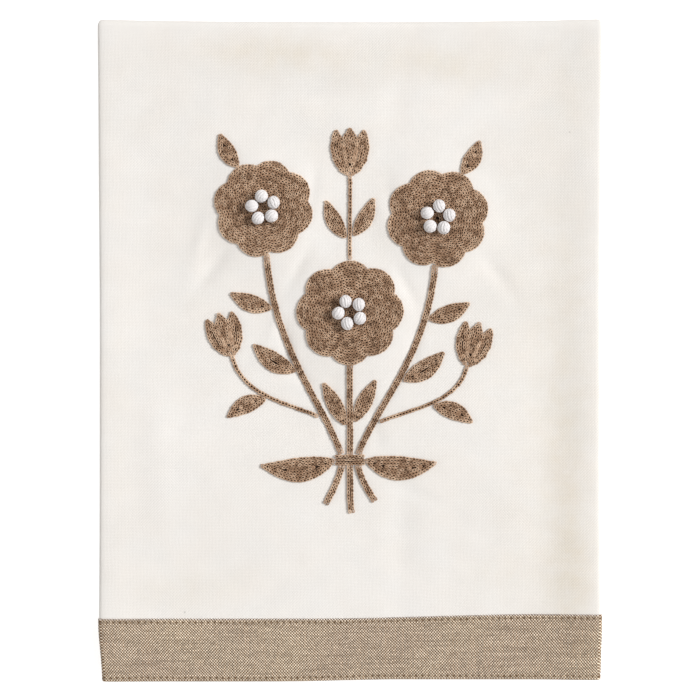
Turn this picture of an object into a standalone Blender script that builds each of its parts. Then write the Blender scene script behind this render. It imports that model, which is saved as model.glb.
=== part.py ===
"""A folded hand towel: cream cloth, a contrast band across its end, and a stitched posy with knots.

Units are metres and +Z is up. The towel lies face up on z = 0 with its fold at +Y and its band at -Y.
Both long sides are turned behind the face, and the towel is then folded in half across its length.
"""

import math

import bmesh
import bpy

# Cloth and the way it is folded
CLOTH_WIDTH = 0.356
FACE_WIDTH = 0.2038
FACE_LENGTH = 0.2671
CREAM_LENGTH = 0.508
CLOTH_THICKNESS = 0.0010
LAYER_PITCH = 0.0015
INNER_GAP = 0.0012
HEM_DEPTH = 0.008
HEM_EXTRA = 0.0003
HEM_RAMP = 0.0010
BACK_INSET = 0.0009
FLAP_OFFSET = 0.0012

# Contrast band across the lower end of the face
BAND_HEIGHT = 0.0254
BAND_THICKNESS = 0.0012

# Stitched posy and its knots
GAP = 0.0003
STITCH_THICKNESS = 0.0010
MOTIF_Y = 0.0129
STEM_WIDTH = 0.0027
FINE_STEM_WIDTH = 0.0020
PETALS = 8
PETAL_DEPTH = 0.13
PETAL_ROUNDNESS = 0.75
PETAL_UNEVENNESS = ((0.020, 2.0, 1.0), (0.012, 3.0, 0.0))
POINTS_PER_PETAL = 5
ROSETTE_RINGS = (0.40, 0.72, 1.0)
KNOTS_IN_RING = 5
KNOT_RADIUS = 0.0026
KNOT_HEIGHT = 0.0044
KNOT_RING_RADIUS = 0.0047
KNOT_SIDES = 9
KNOT_OUTLINE = ((0.62, 0.0), (0.97, 0.26), (0.93, 0.58), (0.55, 0.90))

# Heights of the four layers, measured from the middle of the fold
BACK_Z = 0.5 * CLOTH_THICKNESS
FLAP_REACH = 0.5 * (INNER_GAP + CLOTH_THICKNESS)
FACE_REACH = FLAP_REACH + LAYER_PITCH
MIDDLE_Z = BACK_Z + FACE_REACH
FACE_TOP = MIDDLE_Z + FACE_REACH + 0.5 * CLOTH_THICKNESS
HALF_WIDTH = 0.5 * FACE_WIDTH
HALF_LENGTH = 0.5 * FACE_LENGTH
SEAM_Y = -HALF_LENGTH + BAND_HEIGHT
FOLD_Y = HALF_LENGTH - FACE_REACH - 0.5 * CLOTH_THICKNESS
FLAP_WIDTH = 0.5 * (CLOTH_WIDTH - FACE_WIDTH)
BACK_LENGTH = CREAM_LENGTH - (FOLD_Y - SEAM_Y) - math.pi * FACE_REACH

# How finely the cloth is divided
SIDE_STEPS = 4
SIDE_ZONE = 0.020
FACE_STEPS = 18
BEND_STEPS = 5
FLAP_STEPS = 3
FRONT_STEPS = 24
FOLD_STEPS = 7
BACK_STEPS = 5
BAND_STEPS = 3

# Soft ridges that the folds leave: crest in from the fold, reach of each slope, height, and how much
# the height wavers along the fold (share, turns per metre in radians, start)
RIDGE_COLUMNS = ("crest", "outer", "inner", "height", "waver")
LEFT_RIDGE = dict(zip(RIDGE_COLUMNS, (0.0060, 0.0060, 0.0110, 0.0008, (0.25, 31.0, 0.6))))
RIGHT_RIDGE = dict(zip(RIDGE_COLUMNS, (0.0060, 0.0060, 0.0110, 0.0010, (0.20, 27.0, 2.2))))
TOP_RIDGE = dict(zip(RIDGE_COLUMNS, (0.0050, 0.0070, 0.0120, 0.0012, (0.15, 24.0, 1.0))))

# Swells under the rosettes, and long shallow ripples: height, turns across and along, start
SWELL_HEIGHT = 0.0007
SWELL_MARGIN = 1.25
RIPPLES = [
    {"height": 0.00018, "across": 38.0, "along": 19.0, "start": 0.4},
    {"height": 0.00012, "across": -23.0, "along": 52.0, "start": 2.0},
]

# Uneven outline: how the sides draw in, the band tapers, the fold dips and the lower edges wander
MIDDLE_NARROWING = 0.9930
END_SPREAD = 0.0040
LEFT_TAPER = 0.0017
RIGHT_TAPER = 0.0007
FOLD_SAG = 0.0010
SEAM_DROP = 0.0008
SEAM_RISE = 0.0019
SEAM_RISE_START = -0.015
SEAM_RISE_LENGTH = 0.095
EDGE_DROP = 0.0005
EDGE_RISE = 0.0008
EDGE_RISE_START = -0.030
EDGE_RISE_LENGTH = 0.050
WAVE_REACH = 0.080
SETTLE_Y = 0.0003

# Finishes: sRGB colour and roughness
CREAM = {"name": "cream_cloth", "colour": (0.955, 0.940, 0.920), "roughness": 0.92}
CHAMBRAY = {"name": "chambray_band", "colour": (0.700, 0.625, 0.540), "roughness": 0.90}
TAUPE = {"name": "taupe_yarn", "colour": (0.585, 0.463, 0.376), "roughness": 0.85}
WHITE = {"name": "white_yarn", "colour": (0.945, 0.930, 0.920), "roughness": 0.90}
SHARP_ANGLE = math.radians(40.0)

# Rosettes: centre and radius from the motif's centre, and turn in degrees
ROSETTES = [
    {"name": "left", "x": -0.0350, "y": 0.0440, "radius": 0.0200, "turn": 9.0},
    {"name": "right", "x": 0.0355, "y": 0.0400, "radius": 0.0205, "turn": -6.0},
    {"name": "middle", "x": 0.0000, "y": 0.0020, "radius": 0.0215, "turn": 22.5},
]

# Buds: the stem that carries each, its length, and the way it points in degrees from +X
BUDS = [
    {"stem": "top", "length": 0.0200, "points": 90.0},
    {"stem": "side_left", "length": 0.0185, "points": 108.0},
    {"stem": "side_right", "length": 0.0185, "points": 74.0},
]

# Half outline of a bud, as shares of its length
BUD_OUTLINE = [
    {"along": 0.00, "half": 0.060},
    {"along": 0.10, "half": 0.215},
    {"along": 0.30, "half": 0.345},
    {"along": 0.55, "half": 0.400},
    {"along": 0.78, "half": 0.370},
    {"along": 0.95, "half": 0.300},
]
BUD_NOTCH = {"along": 0.76, "half": 0.150}

# Leaves: what carries each and where, as a share along a stem or an angle round a rosette, its side,
# its length and width, the way it points in degrees from +X, and its sideways bow
LEAF_COLUMNS = ("name", "on", "at", "side", "length", "width", "points", "bow")
LEAF_ROWS = [
    ("low_left", "tie", 0.0, -1, 0.0300, 0.0100, 184.0, 0.0030),
    ("low_right", "tie", 0.0, 1, 0.0290, 0.0100, -2.0, -0.0030),
    ("heart_left", "middle", 0.34, 1, 0.0195, 0.0064, 118.0, 0.0),
    ("heart_right", "middle", 0.38, -1, 0.0190, 0.0064, 63.0, 0.0),
    ("arm_left", "left", 0.50, 1, 0.0200, 0.0080, 147.0, 0.0015),
    ("arm_right", "right", 0.48, -1, 0.0200, 0.0080, 35.0, -0.0015),
    ("cheek_left", "left", 0.80, 1, 0.0175, 0.0074, 160.0, 0.0010),
    ("cheek_right", "right", 0.79, -1, 0.0175, 0.0074, 22.0, -0.0010),
    ("crown_left", "top", 0.26, 1, 0.0170, 0.0066, 118.0, 0.0010),
    ("crown_right", "top", 0.29, -1, 0.0170, 0.0066, 62.0, -0.0010),
    ("side_left", "side_left", 0.52, 1, 0.0170, 0.0072, 206.0, -0.0015),
    ("side_right", "side_right", 0.52, -1, 0.0170, 0.0072, -24.0, 0.0015),
    ("brow_left", "rosette left", 121.5, 1, 0.0150, 0.0070, 118.0, 0.0010),
    ("brow_right", "rosette right", 61.5, 1, 0.0150, 0.0070, 62.0, -0.0010),
]
LEAVES = [dict(zip(LEAF_COLUMNS, row)) for row in LEAF_ROWS]
LEAF_STEPS = 7
LEAF_FULLEST = 0.88
LEAF_ROUNDNESS = 0.85
LEAF_TIP = 0.0003
LEAF_CLEARANCE = 0.0008
END_CLEARANCE = 0.0006
BRANCH_CLEARANCE = 0.0012

# Stems: the stem that each branches from, where along it and on which side, the width, and one
# smooth curve as its start, two handles and its end. A branch's start is worked out, so it isn't listed
STEM_COLUMNS = ("name", "branch_of", "at", "side", "width", "route")
STEM_ROWS = [
    ("middle", None, 0.0, 0, STEM_WIDTH,
     [(0.0, -0.0549), (0.0003, -0.0430), (-0.0003, -0.0320), (0.0, -0.0199)]),
    ("top", None, 0.0, 0, FINE_STEM_WIDTH,
     [(0.0, 0.0241), (-0.0004, 0.0350), (0.0004, 0.0460), (0.0, 0.0568)]),
    ("left", None, 0.0, 0, STEM_WIDTH,
     [(-0.0037, -0.0545), (-0.0120, -0.0330), (-0.0310, -0.0120), (-0.0338, 0.0247)]),
    ("right", None, 0.0, 0, STEM_WIDTH,
     [(0.0037, -0.0545), (0.0120, -0.0340), (0.0315, -0.0150), (0.0345, 0.0203)]),
    ("side_left", "left", 0.245, 1, FINE_STEM_WIDTH,
     [(-0.0240, -0.0350), (-0.0440, -0.0320), (-0.0478, -0.0160)]),
    ("side_right", "right", 0.225, -1, FINE_STEM_WIDTH,
     [(0.0240, -0.0370), (0.0440, -0.0350), (0.0475, -0.0200)]),
    ("tail_left", None, 0.0, 0, STEM_WIDTH,
     [(-0.0034, -0.0603), (-0.0045, -0.0650), (-0.0070, -0.0700), (-0.0095, -0.0745)]),
    ("tail_middle", None, 0.0, 0, STEM_WIDTH,
     [(0.0, -0.0601), (0.0002, -0.0660), (-0.0002, -0.0720), (0.0006, -0.0780)]),
    ("tail_right", None, 0.0, 0, STEM_WIDTH,
     [(0.0034, -0.0603), (0.0045, -0.0650), (0.0072, -0.0695), (0.0098, -0.0735)]),
]
STEMS = [dict(zip(STEM_COLUMNS, row)) for row in STEM_ROWS]
STEM_STEP = 0.0065

# Tie around the stems
TIE_Y = -0.0575
TIE_LENGTH = 0.0118
TIE_HEIGHT = 0.0042
TIE_OUTLINE = ((-1.0, 0.55), (-0.86, 1.0), (0.0, 1.0), (0.86, 1.0), (1.0, 0.55))


def smooth_step(value):
    """Ease from 0 to 1 with level ends."""
    value = min(max(value, 0.0), 1.0)
    return value * value * (3.0 - 2.0 * value)


def ridge(distance, along, shape):
    """Height of a fold's soft ridge at a distance in from the fold and a place along it."""
    reach = shape["outer"] if distance < shape["crest"] else shape["inner"]
    share, turns, start = shape["waver"]
    height = shape["height"] * (1.0 + share * math.sin(turns * along + start))
    return height * math.exp(-(((distance - shape["crest"]) / reach) ** 2))


def loft(x, y):
    """How far the upper layers stand off at a place: ridges by the folds, swells under the rosettes."""
    lift = ridge(HALF_WIDTH + x, y, LEFT_RIDGE)
    lift += ridge(HALF_WIDTH - x, y, RIGHT_RIDGE)
    lift += ridge(HALF_LENGTH - y, x, TOP_RIDGE)
    for rosette in ROSETTES:
        distance = math.hypot(x - rosette["x"], y - MOTIF_Y - rosette["y"])
        lift += SWELL_HEIGHT * math.exp(-((distance / (SWELL_MARGIN * rosette["radius"])) ** 4))
    for ripple in RIPPLES:
        turns = ripple["across"] * x + ripple["along"] * y + ripple["start"]
        lift += ripple["height"] * (1.0 + math.sin(turns))
    return lift


def lie(x, y, z):
    """Move a point of the square-cut model to where the cloth really lies."""
    lower = smooth_step(-y / HALF_LENGTH)
    upper = smooth_step(y / HALF_LENGTH)
    across = x / HALF_WIDTH
    top_layers = smooth_step((z - MIDDLE_Z + 0.5 * INNER_GAP) / INNER_GAP)
    below_seam = smooth_step((SEAM_Y - y) / BAND_HEIGHT)
    taper = LEFT_TAPER if x < 0.0 else RIGHT_TAPER
    moved_x = x * (MIDDLE_NARROWING + (1.0 - MIDDLE_NARROWING) * upper + END_SPREAD * lower ** 3)
    moved_x -= taper * across * below_seam
    sag = -FOLD_SAG * (1.0 - across ** 2) * upper ** 4
    seam_wave = -SEAM_DROP + SEAM_RISE * smooth_step((x - SEAM_RISE_START) / SEAM_RISE_LENGTH)
    edge_wave = -EDGE_DROP + EDGE_RISE * smooth_step((x - EDGE_RISE_START) / EDGE_RISE_LENGTH)
    near_seam = smooth_step(1.0 - (y - SEAM_Y) / WAVE_REACH)
    wave = (seam_wave + (edge_wave - seam_wave) * below_seam) * near_seam
    return (moved_x, y + sag + wave + SETTLE_Y, z + loft(x, y) * top_layers)


def material(row):
    """A plain cloth or yarn material, its sRGB colour turned to the shader's linear one."""
    finish = bpy.data.materials.new(row["name"])
    finish.use_nodes = True
    linear = [((c + 0.055) / 1.055) ** 2.4 for c in row["colour"]]
    shader = finish.node_tree.nodes["Principled BSDF"]
    shader.inputs["Base Color"].default_value = (*linear, 1.0)
    shader.inputs["Roughness"].default_value = row["roughness"]
    shader.inputs["Metallic"].default_value = 0.0
    finish.diffuse_color = (*linear, 1.0)
    return finish


def add_object(name, mesh_data, finish, parent):
    """Close a bmesh into a named object, with its faces pointing out."""
    bmesh.ops.recalc_face_normals(mesh_data, faces=mesh_data.faces)
    mesh = bpy.data.meshes.new(name)
    mesh_data.to_mesh(mesh)
    mesh_data.free()
    mesh.shade_smooth()
    mesh.set_sharp_from_angle(angle=SHARP_ANGLE)
    piece = bpy.data.objects.new(name, mesh)
    piece.data.materials.append(finish)
    piece.parent = parent
    bpy.context.scene.collection.objects.link(piece)
    return piece


def spread(start, end, steps):
    """Evenly spaced values from start up to, but without, end."""
    return [start + (end - start) * i / steps for i in range(steps)]


def half_section(half_width, flap_width, thickness, extra):
    """Outer and inner points of half the folded section, from the middle of the face to the flap's end."""
    half = 0.5 * thickness
    bend = 0.5 * LAYER_PITCH
    centre = half_width - bend - 0.5 * CLOTH_THICKNESS
    bend_reach = FACE_REACH - bend
    outer = []
    inner = []
    runs = spread(0.0, half_width - SIDE_ZONE, FACE_STEPS // 2)
    runs += spread(half_width - SIDE_ZONE, centre, SIDE_STEPS)
    for across in runs:
        outer.append((across, FACE_REACH + half))
        inner.append((across, FACE_REACH - half))
    for i in range(BEND_STEPS + 1):
        angle = 0.5 * math.pi - math.pi * i / BEND_STEPS
        for points, radius in ((outer, bend + half), (inner, bend - half)):
            points.append((centre + radius * math.cos(angle), bend_reach + radius * math.sin(angle)))
    end = centre - flap_width
    for across in spread(centre, end + HEM_DEPTH, FLAP_STEPS)[1:]:
        outer.append((across, FLAP_REACH - half))
        inner.append((across, FLAP_REACH + half))
    for across, added in ((end + HEM_DEPTH, 0.0), (end + HEM_DEPTH - HEM_RAMP, extra), (end, extra)):
        outer.append((across, FLAP_REACH - half - added))
        inner.append((across, FLAP_REACH + half))
    return outer, inner


def full_section(half_width, thickness, extra):
    """Outer and inner points of the whole section, from the left flap's end to the right flap's end."""
    inset = HALF_WIDTH - half_width
    sides = []
    for flap in (FLAP_WIDTH + inset + FLAP_OFFSET, FLAP_WIDTH + inset - FLAP_OFFSET):
        sides.append(half_section(half_width, flap, thickness, extra))
    left, right = sides
    outer = [(-a, n) for a, n in reversed(left[0][1:])] + right[0]
    inner = [(-a, n) for a, n in reversed(left[1][1:])] + right[1]
    return outer, inner


def fold_path():
    """Places along the fold: y and z of the middle, the way its outside faces, and how far behind it is."""
    places = []
    for y in spread(SEAM_Y + GAP, FOLD_Y, FRONT_STEPS):
        places.append((y, 0.5 * math.pi, 0.0))
    for i in range(FOLD_STEPS):
        places.append((FOLD_Y, 0.5 * math.pi - math.pi * i / FOLD_STEPS, i / FOLD_STEPS))
    for y in spread(FOLD_Y, FOLD_Y - BACK_LENGTH, BACK_STEPS) + [FOLD_Y - BACK_LENGTH]:
        places.append((y, -0.5 * math.pi, 1.0))
    return places


def band_path():
    """Places along the band, from its lower edge to the seam."""
    return [(y, 0.5 * math.pi, 0.0) for y in spread(-HALF_LENGTH, SEAM_Y, BAND_STEPS) + [SEAM_Y]]


def sweep(places, thickness, extra):
    """One closed solid: the folded section carried along the places, its side hems thicker by extra."""
    solid = bmesh.new()
    rings = []
    for y, facing, behind in places:
        outer, inner = full_section(HALF_WIDTH - BACK_INSET * smooth_step(behind), thickness, extra)
        ring = []
        for across, reach in outer + inner[::-1]:
            point = (across, y + reach * math.cos(facing), MIDDLE_Z + reach * math.sin(facing))
            ring.append(solid.verts.new(lie(*point)))
        rings.append(ring)
    count = len(rings[0])
    for first, second in zip(rings, rings[1:]):
        for i in range(count):
            j = (i + 1) % count
            solid.faces.new((first[i], first[j], second[j], second[i]))
    for ring in (rings[0], rings[-1]):
        for i in range(count // 2 - 1):
            solid.faces.new((ring[i], ring[i + 1], ring[-i - 2], ring[-i - 1]))
    return solid


def slab(points, faces, bottom, top):
    """One closed solid over a flat patch, from bottom to top above the face of the cloth."""
    solid = bmesh.new()
    layers = []
    for height in (bottom, top):
        layers.append([solid.verts.new(lie(x, MOTIF_Y + y, FACE_TOP + height)) for x, y in points])
    edges = {}
    for face in faces:
        solid.faces.new([layers[0][i] for i in reversed(face)])
        solid.faces.new([layers[1][i] for i in face])
        for a, b in zip(face, face[1:] + face[:1]):
            edges[(a, b)] = True
    for a, b in edges:
        if (b, a) not in edges:
            solid.faces.new((layers[0][a], layers[0][b], layers[1][b], layers[1][a]))
    return solid


def stitched(name, points, faces, finish, parent):
    """A raised patch of stitches just clear of the cloth."""
    return add_object(name, slab(points, faces, GAP, GAP + STITCH_THICKNESS), finish, parent)


def curve_point(route, t):
    """Point and heading on a stem's smooth curve."""
    weights = ((1 - t) ** 3, 3 * t * (1 - t) ** 2, 3 * t * t * (1 - t), t ** 3)
    slopes = (-3 * (1 - t) ** 2, 3 * (1 - t) * (1 - 3 * t), 3 * t * (2 - 3 * t), 3 * t * t)
    place = [sum(w * p[k] for w, p in zip(weights, route)) for k in (0, 1)]
    heading = [sum(s * p[k] for s, p in zip(slopes, route)) for k in (0, 1)]
    size = math.hypot(*heading)
    return place, (heading[0] / size, heading[1] / size)


def find(rows, name):
    """The row of a table with this name."""
    return next(row for row in rows if row["name"] == name)


def beside(stem, share, side, clearance):
    """A point just clear of one side of a stem."""
    (x, y), (dx, dy) = curve_point(stem_route(stem), share)
    reach = side * (0.5 * stem["width"] + clearance)
    return x - reach * dy, y + reach * dx


def stem_route(stem):
    """The four points of a stem's curve, the first worked out where it branches from another."""
    if stem["branch_of"] is None:
        return stem["route"]
    start = beside(find(STEMS, stem["branch_of"]), stem["at"], stem["side"], BRANCH_CLEARANCE)
    return [start] + stem["route"]


def rosette_radius(angle, rosette):
    """Scalloped outline of a rosette with slightly uneven petals."""
    turned = angle - math.radians(rosette["turn"])
    scallop = abs(math.sin(0.5 * PETALS * turned)) ** PETAL_ROUNDNESS
    uneven = 1.0 + sum(share * math.sin(turns * angle + start) for share, turns, start in PETAL_UNEVENNESS)
    return rosette["radius"] * uneven * (1.0 - PETAL_DEPTH * (1.0 - scallop))


def make_rosette(rosette, finish, parent):
    """A scalloped round of stitches, as rings about its centre."""
    around = POINTS_PER_PETAL * PETALS
    points = [(rosette["x"], rosette["y"])]
    for share in ROSETTE_RINGS:
        for i in range(around):
            angle = 2.0 * math.pi * i / around + math.radians(rosette["turn"])
            radius = share * rosette_radius(angle, rosette)
            x = rosette["x"] + radius * math.cos(angle)
            y = rosette["y"] + radius * math.sin(angle)
            points.append((x, y))
    faces = []
    for i in range(around):
        j = (i + 1) % around
        faces.append([0, 1 + i, 1 + j])
        for ring in (1, 1 + around):
            faces.append([ring + i, ring + around + i, ring + around + j, ring + j])
    return stitched(f"rosette_{rosette['name']}", points, faces, finish, parent)


def make_bud(bud, finish, parent):
    """A tulip bud with three tips."""
    angle = math.radians(bud["points"])
    forward = (math.cos(angle), math.sin(angle))
    (foot_x, foot_y), heading = curve_point(stem_route(find(STEMS, bud["stem"])), 1.0)
    foot_x += END_CLEARANCE * heading[0]
    foot_y += END_CLEARANCE * heading[1]
    spine = [(row["along"], 0.0) for row in BUD_OUTLINE[:-1]]
    right = [(row["along"], row["half"]) for row in BUD_OUTLINE]
    notch = (BUD_NOTCH["along"], BUD_NOTCH["half"])
    last = len(right) - 1
    flat = spine + right + [(a, -h) for a, h in right] + [notch, (notch[0], -notch[1]), (1.0, 0.0)]
    first_right = len(spine)
    first_left = first_right + len(right)
    right_notch = first_left + len(right)
    faces = []
    for i in range(last - 1):
        faces.append([i, first_right + i, first_right + i + 1, i + 1])
        faces.append([i, i + 1, first_left + i + 1, first_left + i])
    crown = last - 1
    for side, side_notch, flip in ((first_right, right_notch, False), (first_left, right_notch + 1, True)):
        for face in (
            [crown, side + crown, side_notch],
            [side + crown, side + last, side_notch],
            [crown, side_notch, right_notch + 2],
        ):
            faces.append(face[::-1] if flip else face)
    points = []
    for along, half in flat:
        x = foot_x + bud["length"] * (along * forward[0] + half * forward[1])
        y = foot_y + bud["length"] * (along * forward[1] - half * forward[0])
        points.append((x, y))
    return stitched(f"bud_{bud['stem']}", points, faces, finish, parent)


def leaf_foot(leaf):
    """Where a leaf starts, just clear of the tie, stem or rosette that carries it."""
    if leaf["on"] == "tie":
        return leaf["side"] * (0.5 * TIE_LENGTH + LEAF_CLEARANCE), TIE_Y
    if leaf["on"].startswith("rosette"):
        rosette = find(ROSETTES, leaf["on"].split()[1])
        angle = math.radians(leaf["at"])
        radius = rosette_radius(angle, rosette) + END_CLEARANCE
        return rosette["x"] + radius * math.cos(angle), rosette["y"] + radius * math.sin(angle)
    stem = find(STEMS, leaf["on"])
    return beside(stem, leaf["at"], leaf["side"], LEAF_CLEARANCE)


def make_leaf(leaf, finish, parent):
    """A pointed oval leaf, bowed a little to one side."""
    angle = math.radians(leaf["points"])
    forward = (math.cos(angle), math.sin(angle))
    foot_x, foot_y = leaf_foot(leaf)
    length = leaf["length"]
    points = []
    for i in range(LEAF_STEPS + 1):
        along = i / LEAF_STEPS
        half = 0.5 * leaf["width"] * abs(math.sin(math.pi * along ** LEAF_FULLEST)) ** LEAF_ROUNDNESS
        half = max(half, LEAF_TIP)
        middle = leaf["bow"] * 4.0 * along * (1.0 - along)
        for side in (middle + half, middle, middle - half):
            x = foot_x + along * length * forward[0] - side * forward[1]
            y = foot_y + along * length * forward[1] + side * forward[0]
            points.append((x, y))
    faces = []
    for i in range(LEAF_STEPS):
        first = 3 * i
        faces.append([first, first + 1, first + 4, first + 3])
        faces.append([first + 1, first + 2, first + 5, first + 4])
    return stitched(f"leaf_{leaf['name']}", points, faces, finish, parent)


def make_stem(stem, finish, parent):
    """A narrow row of stitches along a curve."""
    route = stem_route(stem)
    length = math.hypot(route[3][0] - route[0][0], route[3][1] - route[0][1])
    steps = max(2, round(length / STEM_STEP))
    half = 0.5 * stem["width"]
    points = []
    for i in range(steps + 1):
        (x, y), (dx, dy) = curve_point(route, i / steps)
        points += [(x - half * dy, y + half * dx), (x + half * dy, y - half * dx)]
    faces = [[2 * i, 2 * i + 1, 2 * i + 3, 2 * i + 2] for i in range(steps)]
    return stitched(f"stem_{stem['name']}", points, faces, finish, parent)


def make_tie(finish, parent):
    """The short wrap across the gathered stems."""
    half = 0.5 * TIE_LENGTH
    tall = 0.5 * TIE_HEIGHT
    points = []
    for across, share in TIE_OUTLINE:
        points += [(across * half, TIE_Y - share * tall), (across * half, TIE_Y + share * tall)]
    faces = [[2 * i, 2 * i + 2, 2 * i + 3, 2 * i + 1] for i in range(len(TIE_OUTLINE) - 1)]
    return stitched("posy_tie", points, faces, finish, parent)


def make_knot(name, x, y, finish, parent):
    """One wound knot: a squat ball with a flat foot on its rosette."""
    solid = bmesh.new()
    foot = FACE_TOP + STITCH_THICKNESS + 2.0 * GAP
    rings = []
    for share, height in KNOT_OUTLINE:
        ring = []
        for i in range(KNOT_SIDES):
            angle = 2.0 * math.pi * i / KNOT_SIDES
            point_x = x + share * KNOT_RADIUS * math.cos(angle)
            point_y = y + share * KNOT_RADIUS * math.sin(angle)
            ring.append(solid.verts.new(lie(point_x, MOTIF_Y + point_y, foot + height * KNOT_HEIGHT)))
        rings.append(ring)
    peak = solid.verts.new(lie(x, MOTIF_Y + y, foot + KNOT_HEIGHT))
    for lower, upper in zip(rings, rings[1:]):
        for i in range(KNOT_SIDES):
            j = (i + 1) % KNOT_SIDES
            solid.faces.new((lower[i], lower[j], upper[j], upper[i]))
    for i in range(KNOT_SIDES):
        solid.faces.new((rings[-1][i], rings[-1][(i + 1) % KNOT_SIDES], peak))
    solid.faces.new(rings[0][::-1])
    return add_object(name, solid, finish, parent)


def make_knot_ring(rosette, finish, parent):
    """A ring of knots in the middle of a rosette."""
    for i in range(KNOTS_IN_RING):
        angle = 2.0 * math.pi * i / KNOTS_IN_RING + math.radians(90.0 + rosette["turn"])
        x = rosette["x"] + KNOT_RING_RADIUS * math.cos(angle)
        y = rosette["y"] + KNOT_RING_RADIUS * math.sin(angle)
        make_knot(f"knot_{rosette['name']}_{i + 1}", x, y, finish, parent)


def main():
    """Clear the scene and build the towel, its band and its stitched posy."""
    for old in list(bpy.data.objects):
        bpy.data.objects.remove(old, do_unlink=True)
    towel = bpy.data.objects.new("towel", None)
    bpy.context.scene.collection.objects.link(towel)
    taupe = material(TAUPE)
    white = material(WHITE)
    add_object("towel_cloth", sweep(fold_path(), CLOTH_THICKNESS, HEM_EXTRA), material(CREAM), towel)
    add_object("towel_band", sweep(band_path(), BAND_THICKNESS, 0.0), material(CHAMBRAY), towel)
    for rosette in ROSETTES:
        make_rosette(rosette, taupe, towel)
        make_knot_ring(rosette, white, towel)
    for bud in BUDS:
        make_bud(bud, taupe, towel)
    for leaf in LEAVES:
        make_leaf(leaf, taupe, towel)
    for stem in STEMS:
        make_stem(stem, taupe, towel)
    make_tie(taupe, towel)


main()
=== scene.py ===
"""The looks of a folded hand towel: cream cloth, a contrast band, a stitched posy and wound knots.

Units are metres and +Z is up. The towel lies face up with its fold at +Y and its band at -Y. Both long
sides are turned behind the face, and the towel is folded in half across its length. Every piece is made
flat, in the cloth's own measures across and along it, and lay() then puts it where the folded cloth is.
"""

import math

import bmesh
import bpy
import numpy as np
from bpy.props import FloatProperty, FloatVectorProperty, IntProperty, PointerProperty
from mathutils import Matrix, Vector


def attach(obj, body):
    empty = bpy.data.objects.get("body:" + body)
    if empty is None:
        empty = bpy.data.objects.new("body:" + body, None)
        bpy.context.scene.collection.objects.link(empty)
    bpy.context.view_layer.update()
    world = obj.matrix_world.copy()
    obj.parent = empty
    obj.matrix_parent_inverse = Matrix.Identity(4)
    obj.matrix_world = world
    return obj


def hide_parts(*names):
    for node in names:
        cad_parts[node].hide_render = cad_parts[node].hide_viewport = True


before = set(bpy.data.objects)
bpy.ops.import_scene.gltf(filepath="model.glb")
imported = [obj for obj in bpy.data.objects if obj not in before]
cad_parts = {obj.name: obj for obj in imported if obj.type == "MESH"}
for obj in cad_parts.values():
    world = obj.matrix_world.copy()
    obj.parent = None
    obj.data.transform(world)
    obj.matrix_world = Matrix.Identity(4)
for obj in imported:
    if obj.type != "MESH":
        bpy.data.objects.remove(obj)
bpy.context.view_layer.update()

bl_info = {
    "name": "Folded Hand Towel",
    "version": (1, 0, 0),
    "blender": (4, 5, 0),
    "location": "3D View > Sidebar > Towel",
    "description": "Makes a folded hand towel with a contrast band, a stitched posy and wound knots",
    "category": "Add Mesh",
}


def table(columns, rows):
    """Rows of plain values as dictionaries under the same column names."""
    return [dict(zip(columns, row)) for row in rows]


# The cloth and the way it is folded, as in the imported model: the flat cloth, its face once folded, the
# solid's thickness and the gaps of its layers, and where the band and the posy lie
CLOTH_WIDTH = 0.356
FACE_WIDTH = 0.2038
FACE_LENGTH = 0.2671
CREAM_LENGTH = 0.508
SOLID_THICKNESS = 0.0010
LAYER_PITCH = 0.0015
INNER_GAP = 0.0012
BACK_INSET = 0.0009
FLAP_OFFSET = 0.0012
BAND_HEIGHT = 0.0254
MOTIF_Y = 0.0129

# Reach of each layer from the middle of the fold, and places worked out from it
BEND = 0.5 * LAYER_PITCH
FLAP_REACH = 0.5 * (INNER_GAP + SOLID_THICKNESS)
FACE_REACH = FLAP_REACH + LAYER_PITCH
MIDDLE_Z = FACE_REACH + 0.5 * SOLID_THICKNESS
HALF_WIDTH = 0.5 * FACE_WIDTH
HALF_LENGTH = 0.5 * FACE_LENGTH
SEAM_Y = -HALF_LENGTH + BAND_HEIGHT
FOLD_Y = HALF_LENGTH - FACE_REACH - 0.5 * SOLID_THICKNESS
FACE_HALF = HALF_WIDTH - BEND - 0.5 * SOLID_THICKNESS
BEND_RUN = math.pi * BEND
FLAP_WIDTH = 0.5 * (CLOTH_WIDTH - FACE_WIDTH)
LEFT_RUN = FACE_HALF + BEND_RUN + FLAP_WIDTH + FLAP_OFFSET
RIGHT_RUN = FACE_HALF + BEND_RUN + FLAP_WIDTH - FLAP_OFFSET
FRONT_RUN = FOLD_Y - SEAM_Y
FOLD_RUN = math.pi * FACE_REACH

# Soft ridges by the left, right and top folds: crest in from the fold, reach of each slope, height, and
# how the height wavers along the fold (share, radians a metre, start). They and the swells are a little
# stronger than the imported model's, as the real cloth shows them.
LEFT_RIDGE, RIGHT_RIDGE, TOP_RIDGE = table(("crest", "outer", "inner", "height", "waver"), [
    (0.0035, 0.0050, 0.0120, 0.0007, (0.25, 31.0, 0.6)),
    (0.0026, 0.0050, 0.0125, 0.0014, (0.30, -16.0, 0.4)),
    (0.0036, 0.0060, 0.0145, 0.0015, (0.15, 24.0, 1.0)),
])

# The cloth swells under each rosette, dishes in its middle, and ripples a little all over: height,
# radians a metre across and along, and start
SWELL_HEIGHT = 0.0018
SWELL_MARGIN = 1.12
DISH_DEPTH = 0.0008
DISH_SHARE = 0.60
RIPPLES = ((0.00018, 38.0, 19.0, 0.4), (0.00012, -23.0, 52.0, 2.0))

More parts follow.
